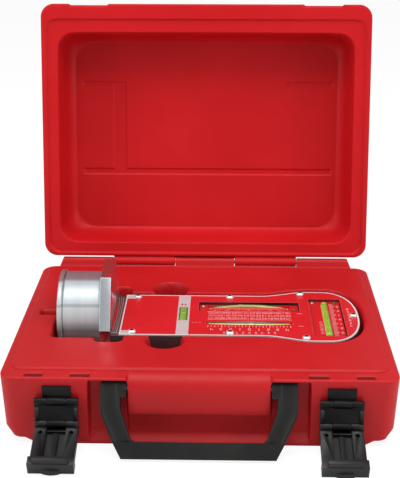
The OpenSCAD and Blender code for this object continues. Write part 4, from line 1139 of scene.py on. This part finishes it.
# the windows' walls, a thin frame in each from the carriers up to the plate, painted black and
# dark red as painted shade
frame_w = 0.3
frame_foot_z = 63.9
for name, (x0, x1, y0, y1) in (("caster_window_edge", (-3.95, 95.95, 9.55, 31.45)),
                               ("inclination_window_edge", (106.05, 137.95, -47.45, 41.45))):
    sheet_from(name, rectangle(x0, x1, y0, y1),
               [rectangle(x0 + frame_w, x1 - frame_w, y0 + frame_w, y1 - frame_w)],
               frame_foot_z, plate_top - 0.02, window_shade_black)

# strokes of the plain numbers on a grid 2 wide and 4 high
digit_advance = 3.2
digit_strokes = {
    "0": [(0, 0, 2, 0), (2, 0, 2, 4), (2, 4, 0, 4), (0, 4, 0, 0)], "1": [(1, 0, 1, 4)],
    "2": [(0, 4, 2, 4), (2, 4, 2, 2), (2, 2, 0, 2), (0, 2, 0, 0), (0, 0, 2, 0)],
    "3": [(0, 4, 2, 4), (2, 4, 2, 0), (2, 0, 0, 0), (0, 2, 2, 2)],
    "4": [(0, 4, 0, 2), (0, 2, 2, 2), (2, 4, 2, 0)],
    "6": [(2, 4, 0, 4), (0, 4, 0, 0), (0, 0, 2, 0), (2, 0, 2, 2), (2, 2, 0, 2)],
    "8": [(0, 0, 2, 0), (2, 0, 2, 4), (2, 4, 0, 4), (0, 4, 0, 0), (0, 2, 2, 2)]}


def number_strokes(number, cx, cy, height):
    """Strokes of a number centred on a point, written to be read from the gauge's far side."""
    unit = -height / 4
    start = -(len(number) * digit_advance - (digit_advance - 2)) / 2
    return [(cx + unit * (start + k * digit_advance + x0), cy + unit * (y0 - 2),
             cx + unit * (start + k * digit_advance + x1), cy + unit * (y1 - 2))
            for k, digit in enumerate(number) for x0, y0, x1, y1 in digit_strokes[digit]]


def number_row(numbers, middle, step, y, height):
    """Strokes of numbers in a row along x, step apart, around the place middle."""
    strokes = []
    for k, number in enumerate(numbers):
        strokes += number_strokes(number, middle + (k - (len(numbers) - 1) // 2) * step, y, height)
    return strokes


def number_column(numbers, x, first_y, step, height):
    """Strokes of numbers in a column along y, step apart, from the place first_y."""
    strokes = []
    for k, number in enumerate(numbers):
        strokes += number_strokes(number, x, first_y + k * step, height)
    return strokes


def ink_from(name, strokes, line, z0, body, ink=white_ink):
    """A mesh of thin flat bars on the height z0, one for each stroke, line wide and square at
    both ends."""
    s = np.array(strokes)
    along_s = s[:, 2:] - s[:, :2]
    unit = along_s / np.hypot(along_s[:, 0], along_s[:, 1])[:, None]
    side = np.stack([-unit[:, 1], unit[:, 0]], -1) * line / 2
    a, b = s[:, :2] - unit * line / 2, s[:, 2:] + unit * line / 2
    flat = np.stack([a - side, b - side, b + side, a + side], 1) + (0, gauge_y)
    stack = np.concatenate([np.concatenate([flat, np.full(flat.shape[:2] + (1,), z)], 2)
                            for z in (z0, z0 + ink_thick)], 1)
    base = np.arange(len(s))[:, None, None] * 8
    faces = np.array([(4, 5, 6, 7), (3, 2, 1, 0), (0, 1, 5, 4), (1, 2, 6, 5), (2, 3, 7, 6),
                      (3, 0, 4, 7)])[None] + base
    drawn = place_mesh(name, stack.reshape(-1, 3) / 1000, faces.reshape(-1, 4), ink, (), False)
    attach(drawn, body)


# the camber scale: ticks along the vial's window and two rows of numbers below them
camber_x = 45.5
camber_marks = [(camber_x + k * 3.3, -26.0, camber_x + k * 3.3, -29.6 if k % 2 == 0 else -28.0)
                for k in range(-12, 13)]
camber_marks += number_row("432101234", camber_x, 9.0, -34.6, 4.2)
camber_marks += number_row("864202468", camber_x, 6.0, -42.2, 2.6)
camber_marks += [(x, -19.4, x + 0.8, -19.4) for x in (-9.0, -5.6, -2.2)]
ink_from("camber_scale_ink", camber_marks, 0.42, film_top, "gauge")
# the table between the windows, rows of plain numbers between two lines
table = [(5, 7.4, 87, 7.4), (5, -11.9, 87, -11.9)]
for column in range(14):
    for row in range(3):
        number = "0123468"[(column * 3 + row * 2) % 7] + "02468"[(column + row) % 5]
        table += number_strokes(number, 8.6 + column * 5.8, 4.2 - row * 6.3, 3.4)
ink_from("label_table_ink", table, 0.26, film_top, "gauge")
# marks and numbers at the round end
end_marks = [(93.0, -26.0, 97.5, -26.0), (92.6, 4.0, 98.0, 4.0)]
end_marks += number_column("8642024", 143.4, 16.0, -6.6, 3.2)
ink_from("end_scale_ink", end_marks, 0.36, film_top, "gauge")
ink_from("level_mark_ink", [(-20.4, 23.8, -20.4, 25.4), (-17.2, 23.8, -17.2, 25.4)], 1.8,
         plate_top, "gauge", red_ink)

# ---------------------------------------------------------------------------
# Gauge, screws in the label: nickel-plated button heads with six-sided
# sockets, seated on the plate, painted darker at the rim and around the socket as painted shade.
# ---------------------------------------------------------------------------


def tint_by_height(made, low, high, stops):
    """Multiplies a material's base colour by a ramp over the Object height from low to high,
    in metres."""
    base = made.node_tree.nodes["Principled BSDF"].inputs["Base Color"]
    source = base.links[0].from_socket
    where = add(made, "ShaderNodeTexCoord")
    parts = add(made, "ShaderNodeSeparateXYZ")
    share = add(made, "ShaderNodeMapRange", **{"From Min": low, "From Max": high})
    tinted = add(made, "ShaderNodeMixRGB", blend_type="MULTIPLY", Fac=1.0)
    wire(made, where.outputs["Object"], parts.inputs[0])
    wire(made, parts.outputs["Z"], share.inputs["Value"])
    wire(made, source, tinted.inputs["Color1"])
    wire(made, ramp(made, share.outputs[0], stops), tinted.inputs["Color2"])
    wire(made, tinted.outputs[0], base)


nickel = surface("nickel_plated_screw", 0.50, 0.26, 0.34, 200.0, 0.00001, 1500.0,
                 [(0.3, (0.76, 0.77, 0.76)), (0.7, (0.84, 0.85, 0.84))])
head_foot_z, head_crown_z = 0.0665, 0.0691
# painted shade: the heads' colour is darker at the foot of the dome and towards the socket's rim
tint_by_height(nickel, head_foot_z, head_crown_z,
               [(0.0, 0.3), (0.14, 1.0), (0.96, 1.0), (1.0, 0.75)])
socket_shade = surface("socket_painted_shade", 0.6, 0.4, 0.55, 200.0, 0.00002, 1500.0,
                      [(0.3, (0.006, 0.010, 0.010)), (0.7, (0.012, 0.018, 0.018))])
screw_head_h = 2.5
socket_half_w = 1.9
dome_deg = 54
seat_share = 0.12
socket_floor_share = 0.47
head_around = 36


def button_heads(name, places, radius, height, socket, z_seat, body, material):
    """Domed screw heads at the given places: a round seat, an elliptical dome and a hexagonal
    socket whose wall goes down from the dome to a flat bottom; wall and bottom are painted dark as
    painted shade."""
    turn = np.linspace(0, 2 * math.pi, head_around, endpoint=False)
    round_one = np.ones(head_around)
    hexagon = socket / np.cos((turn + math.pi / 6) % (math.pi / 3) - math.pi / 6)
    rise = np.radians(np.linspace(0, dome_deg, 8))
    radii = [round_one * radius * 0.97, round_one * radius]
    heights = [0.0, seat_share * height]
    for a in rise[1:]:
        radii.append(round_one * radius * math.cos(a))
        heights.append(height * (seat_share + (1 - seat_share) * math.sin(a) / math.sin(rise[-1])))
    radii += [hexagon * 1.06, hexagon, hexagon * 0.98]
    heights += [heights[-1], heights[-1] - 0.12, socket_floor_share * height]
    rings = np.stack([np.stack([r * np.cos(turn), r * np.sin(turn), round_one * z], -1)
                      for r, z in zip(radii, heights)]).reshape(-1, 3)
    grid_faces = quads(len(radii), head_around, True)
    in_grid = len(grid_faces)
    stacks, faces, caps = [], [], []
    for k, (x, y) in enumerate(places):
        first = k * len(rings)
        stacks.append(rings + (x, y + gauge_y, z_seat))
        faces.append(grid_faces + first)
        caps += [cap + first for cap in end_caps(len(radii), head_around)]
    heads = place_mesh(name, np.concatenate(stacks) / 1000, np.concatenate(faces), material, caps)
    # painted shade covers the last two rows of each head's grid and the second of its caps
    heads.data.materials.append(socket_shade)
    dark = np.zeros(len(heads.data.polygons), np.int32)
    dark[:in_grid * len(places)] = np.tile(np.arange(in_grid) >= in_grid - 2 * head_around,
                                           len(places))
    dark[in_grid * len(places) + 1::2] = 1
    heads.data.polygons.foreach_set("material_index", dark)
    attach(heads, body)
    return heads


plate_screws = button_heads("label_screw_heads", screw_places, screw_head_r, screw_head_h,
                            socket_half_w, plate_top, "gauge", nickel)
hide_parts("face_screws")

# ---------------------------------------------------------------------------
# Gauge, vials: acrylic tubes with yellow-green fluid, a bubble and black reading
# lines. Camber and level vial lie in dark holders, the other two on carriers;
# the caster vial is bent and the third one lies across the round end.
# ---------------------------------------------------------------------------

holder_dark = surface("dark_vial_holder", 0.0, 0.45, 0.6, 60.0, 0.00003, 900.0,
                      [(0.3, (0.010, 0.012, 0.008)), (0.7, (0.020, 0.024, 0.014))])
paint(holder_dark, "camber_holder", "level_holder")
bubble_pale = (0.60, 0.72, 0.24)
bubble_edge = (0.045, 0.085, 0.006)
line_black = (0.012, 0.016, 0.006)
line_half_w = 0.22
tube_around = 24


def vial_paint(name, bubble_at, bubble_half, line_step, line_from, across_half, across_shading):
    """Fluid whose colour changes across the tube, painted light on one side and painted shade
    on the other, with a pale bubble that has a dark edge, and thin dark lines on the part
    beyond line_from. The UV map holds millimetres along and across."""
    made = bpy.data.materials.new(name)
    made.use_nodes = True
    shader = made.node_tree.nodes["Principled BSDF"]
    shader.inputs["Roughness"].default_value = 0.16
    shader.inputs["Coat Weight"].default_value = 0.35
    shader.inputs["Coat Roughness"].default_value = 0.08
    where = add(made, "ShaderNodeUVMap", uv_map="millimetres")
    parts = add(made, "ShaderNodeSeparateXYZ")
    wire(made, where.outputs[0], parts.inputs[0])

    def bent(socket, operation, value):
        step = add(made, "ShaderNodeMath", operation=operation)
        wire(made, socket, step.inputs[0])
        step.inputs[1].default_value = value
        return step.outputs[0]

    def over(below, shade, amount):
        layer = add(made, "ShaderNodeMixRGB", Color2=(*shade, 1))
        wire(made, amount, layer.inputs["Fac"])
        wire(made, below, layer.inputs["Color1"])
        return layer.outputs[0]

    share = bent(bent(parts.outputs[1], "DIVIDE", 2 * across_half), "ADD", 0.5)
    cloudy = ramp(made, noise(made, 60.0, 3), [(0.3, 0.78), (0.7, 1.0)])
    fluid = add(made, "ShaderNodeMixRGB", blend_type="MULTIPLY", Fac=1.0)
    wire(made, ramp(made, share, across_shading), fluid.inputs["Color1"])
    wire(made, cloudy, fluid.inputs["Color2"])
    reach = bent(bent(bent(parts.outputs[0], "SUBTRACT", bubble_at), "DIVIDE", bubble_half),
                 "POWER", 2.0)
    side = bent(bent(parts.outputs[1], "DIVIDE", across_half), "POWER", 2.0)
    total = add(made, "ShaderNodeMath", operation="ADD")
    wire(made, reach, total.inputs[0])
    wire(made, side, total.inputs[1])
    pale = ramp(made, total.outputs[0], [(0.0, 0.35), (0.50, 0.35), (0.70, 0.0), (1.0, 0.0)])
    edge = ramp(made, total.outputs[0],
                [(0.0, 0.0), (0.60, 0.0), (0.72, 0.7), (0.86, 0.7), (1.0, 0.0)])
    colour = over(over(fluid.outputs[0], bubble_pale, pale), bubble_edge, edge)
    beat = bent(bent(parts.outputs[0], "DIVIDE", line_step), "FRACT", 0.0)
    on_line = bent(bent(bent(beat, "SUBTRACT", 0.5), "ABSOLUTE", 0.0),
                   "GREATER_THAN", 0.5 - line_half_w / line_step)
    lined = add(made, "ShaderNodeMath", operation="MULTIPLY")
    wire(made, on_line, lined.inputs[0])
    wire(made, bent(parts.outputs[1], "GREATER_THAN", line_from), lined.inputs[1])
    wire(made, over(colour, line_black, lined.outputs[0]), shader.inputs["Base Color"])
    return made


def tube(name, centre, forward, half_length, radius, material, body, node_name, bend=0,
         flat=1.0, end_share=1.0):
    """A round-ended tube: rings of points along a middle line that sags by the square of the
    distance from its middle over twice the bend radius (0 keeps it straight). flat squeezes
    its height and end_share shortens its round ends."""
    upward = (0, 0, 1)
    side = np.cross(upward, forward)
    end = radius * end_share
    ends = end * (1 - np.cos(np.radians(np.linspace(0, 90, 7))))
    straight = np.linspace(-half_length + end, half_length - end, 31)[1:-1]
    stations = np.concatenate([-half_length + ends[1:], straight, half_length - ends[:0:-1]])
    from_end = np.minimum(half_length - np.abs(stations), end) / end
    radii = radius * np.sqrt(np.maximum(1 - (1 - from_end) ** 2, 1e-6))
    turn = np.linspace(0, 2 * math.pi, tube_around, endpoint=False)
    sag = stations ** 2 / (2 * bend) if bend else stations * 0
    middle = (np.array(centre) + stations[:, None] * np.array(forward)
              - sag[:, None] * np.array(upward))
    ring_points = (middle[:, None] + radii[:, None, None]
                   * (np.cos(turn)[None, :, None] * np.array(side)
                      + flat * np.sin(turn)[None, :, None] * np.array(upward)))
    made = place_mesh(name, ring_points / 1000, quads(len(stations), tube_around, True), material,
                      end_caps(len(stations), tube_around))
    layer = made.data.uv_layers.new(name="millimetres")
    at_point = np.empty(len(made.data.loops), np.int32)
    made.data.loops.foreach_get("vertex_index", at_point)
    along_mm = np.repeat(stations, tube_around)
    across_mm = (radii[:, None] * np.cos(turn)).ravel()
    layer.data.foreach_set("uv", np.stack([along_mm[at_point], across_mm[at_point]], -1).ravel())
    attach(made, body)
    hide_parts(node_name)


yellow = (0.66, 0.66, 0.22)
olive = (0.040, 0.056, 0.008)
camber_light_and_shade = [(0.0, yellow), (0.26, yellow), (0.34, (0.30, 0.46, 0.05)),
                (0.44, (0.15, 0.26, 0.03)), (0.56, olive), (1.0, olive)]
caster_light_and_shade = [(0.0, yellow), (0.06, yellow), (0.14, (0.24, 0.38, 0.04)),
               (0.26, (0.11, 0.17, 0.02)), (0.42, olive), (1.0, olive)]
inclination_light_and_shade = [(0.0, (0.10, 0.24, 0.02)), (0.14, (0.14, 0.32, 0.02)),
                 (0.30, (0.25, 0.55, 0.025)), (0.78, (0.27, 0.57, 0.03)), (0.90, yellow),
                 (1.0, yellow)]
level_light_and_shade = [(0.0, (0.15, 0.42, 0.05)), (0.5, (0.20, 0.50, 0.06)),
                 (1.0, (0.30, 0.60, 0.14))]
camber_fluid = vial_paint("camber_fluid", bubble_at=2.0, bubble_half=4.5, line_step=3.3,
                          line_from=-1.3, across_half=3.3, across_shading=camber_light_and_shade)
tube("camber_tube", (45.5, -15.5, 63.4), (1, 0, 0), 41.9, 3.4, camber_fluid, "gauge",
     "camber_vial")
caster_fluid = vial_paint("caster_fluid", bubble_at=-8.0, bubble_half=4.0, line_step=2.0,
                          line_from=-1.3, across_half=1.85, across_shading=caster_light_and_shade)
tube("caster_tube", (46.0, 30.5, 64.8), (1, 0, 0), 40.0, 1.9, caster_fluid, "caster_scale",
     "caster_vial", bend=216)
cross_fluid = vial_paint("inclination_fluid", bubble_at=35.2, bubble_half=3.6, line_step=40.0,
                         line_from=9.0, across_half=3.4, across_shading=inclination_light_and_shade)
tube("inclination_tube", (121.5, 1.5, 63.0), (0, 1, 0), 39.0, 3.6, cross_fluid, "kpi_scale",
     "kpi_vial", end_share=0.8)
level_fluid = vial_paint("level_fluid", bubble_at=2.5, bubble_half=2.6, line_step=5.2,
                         line_from=-9.0, across_half=3.9, across_shading=level_light_and_shade)
tube("level_tube", (-18.7, 6.5, 64.1), (0, 1, 0), 15.9, 3.95, level_fluid, "gauge",
     "level_vial", flat=0.6, end_share=0.15)

# ---------------------------------------------------------------------------
# Gauge, carriers: two red anodised plates that hold the caster and the
# inclination vial. Each turns on a pin at one end and is trimmed by a knurled
# brass screw at the other; small screws hold their scales.
# ---------------------------------------------------------------------------

brass = surface("turned_brass", 0.8, 0.28, 0.42, 120.0, 0.00003, 900.0,
                [(0.3, (0.42, 0.33, 0.16)), (0.7, (0.54, 0.43, 0.24))])
paint(label_red, "caster_carrier", "kpi_carrier")
paint(brass, "caster_adjust_screw", "kpi_adjust_screw", "caster_scale_screws",
      "kpi_scale_screw")
paint(steel, "caster_pivot_pin", "kpi_pivot_pin")
carrier_top = 63.82
caster_x = 46.0
caster_marks = [(caster_x + k * 2.4, 22.0, caster_x + k * 2.4, 19.4 if k % 4 == 0 else 20.4)
                for k in range(-16, 17)]
caster_marks += number_row(("12", "8", "4", "0", "4", "8", "12"), caster_x, 10.8, 14.6, 4.4)
ink_from("caster_scale_ink", caster_marks, 0.45, carrier_top, "caster_scale")
cross_marks = [(126.4, -44 + k * 2.6, 131.6 if k % 4 == 0 else 130.0, -44 + k * 2.6)
               for k in range(31)]
cross_marks += [(114.0, -36 + k * 3.0, 117.0, -36 + k * 3.0) for k in range(10)]
cross_marks += number_column("3210123", 134.6, -34.2, 10.4, 3.4)
ink_from("inclination_scale_ink", cross_marks, 0.42, carrier_top, "kpi_scale")

# ---------------------------------------------------------------------------
# Gauge, magnetic head: a turned aluminium cup with a separate end ring on a
# milled six-sided flange that two screws hold. The ring magnet, its pole plate
# and the sprung centring pin sit inside.
# ---------------------------------------------------------------------------

turned_alu = surface("lathe_turned_aluminium", 0.32, 0.40, 0.46, 500.0, 0.00001, 900.0,
                     [(0.3, (0.56, 0.62, 0.64)), (0.7, (0.63, 0.69, 0.71))], cloud=90.0,
                     stretch=(1, 0.02, 0.02))
# painted reflection: the turned parts' colour is banded by height for their mirror of the pocket
# below and the room above
head_low_z, head_high_z = 0.030, 0.112
tint_by_height(turned_alu, head_low_z, head_high_z, [
    (0.0, 0.40), (0.38, 0.75), (0.42, 0.52), (0.46, 0.70), (0.54, 0.97), (0.64, 1.0),
    (0.694, 1.0), (0.710, 0.66), (0.730, 0.66), (0.742, 0.90), (0.85, 0.90), (0.88, 0.74),
    (0.925, 0.68), (0.94, (0.42, 0.25, 0.27)), (1.0, (0.42, 0.25, 0.27))])
milled_alu = surface("milled_aluminium", 1.0, 0.22, 0.27, 60.0, 0.000003, 300.0,
                     [(0.3, (0.71, 0.76, 0.80)), (0.7, (0.76, 0.81, 0.85))], cloud=20.0)
magnet_grey = surface("nickel_plated_magnet", 0.9, 0.3, 0.42, 120.0, 0.00003, 900.0,
                      [(0.3, (0.16, 0.16, 0.17)), (0.7, (0.24, 0.24, 0.25))])
paint(magnet_grey, "ring_magnet", "pole_plate")
paint(brass, "pin_guide")
paint(steel, "centring_pin", "pin_spring", "flange_screws")
head_axis_y = gauge_y
head_axis_z = 70.5


def turned_part(name, profile, material, body, node_name):
    """A solid of revolution about the head's axis: the closed profile holds stations along x
    and radii, in order, and is swept once around."""
    profile = np.array(profile, float)
    count = 128
    turn = np.linspace(0, 2 * math.pi, count, endpoint=False)
    stack = np.stack([np.broadcast_to(profile[:, None, 0], (len(profile), count)),
                      head_axis_y + profile[:, 1:] * np.cos(turn),
                      head_axis_z + profile[:, 1:] * np.sin(turn)], -1)
    made = place_mesh(name, stack / 1000,
                      quads(len(profile) + 1, count, True) % (len(profile) * count), material)
    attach(made, body)
    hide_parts(node_name)


turned_part("head_cup", [
    (-133, 33), (-133, 36.6), (-132.7, 37.0), (-132.0, 37.0), (-131.9, 37.7), (-131.5, 38.0),
    (-131.1, 38.0), (-98.6, 38.0), (-98.2, 37.9), (-97.6, 37.2), (-96.0, 37.2), (-96, 33.0)],
    turned_alu, "gauge", "magnet_housing")
turned_part("head_end_ring", [
    (-137.5, 33.6), (-137.5, 38.5), (-137.2, 39.1), (-136.7, 39.5), (-136.2, 39.5),
    (-134.4, 39.5), (-133.9, 39.4), (-133.3, 38.9), (-133.0, 38.2), (-133.0, 33.6)],
    turned_alu, "gauge", "end_ring")
rounded_copy("hex_flange", "head_flange", 0.0012, milled_alu, "gauge",
             segments=3)
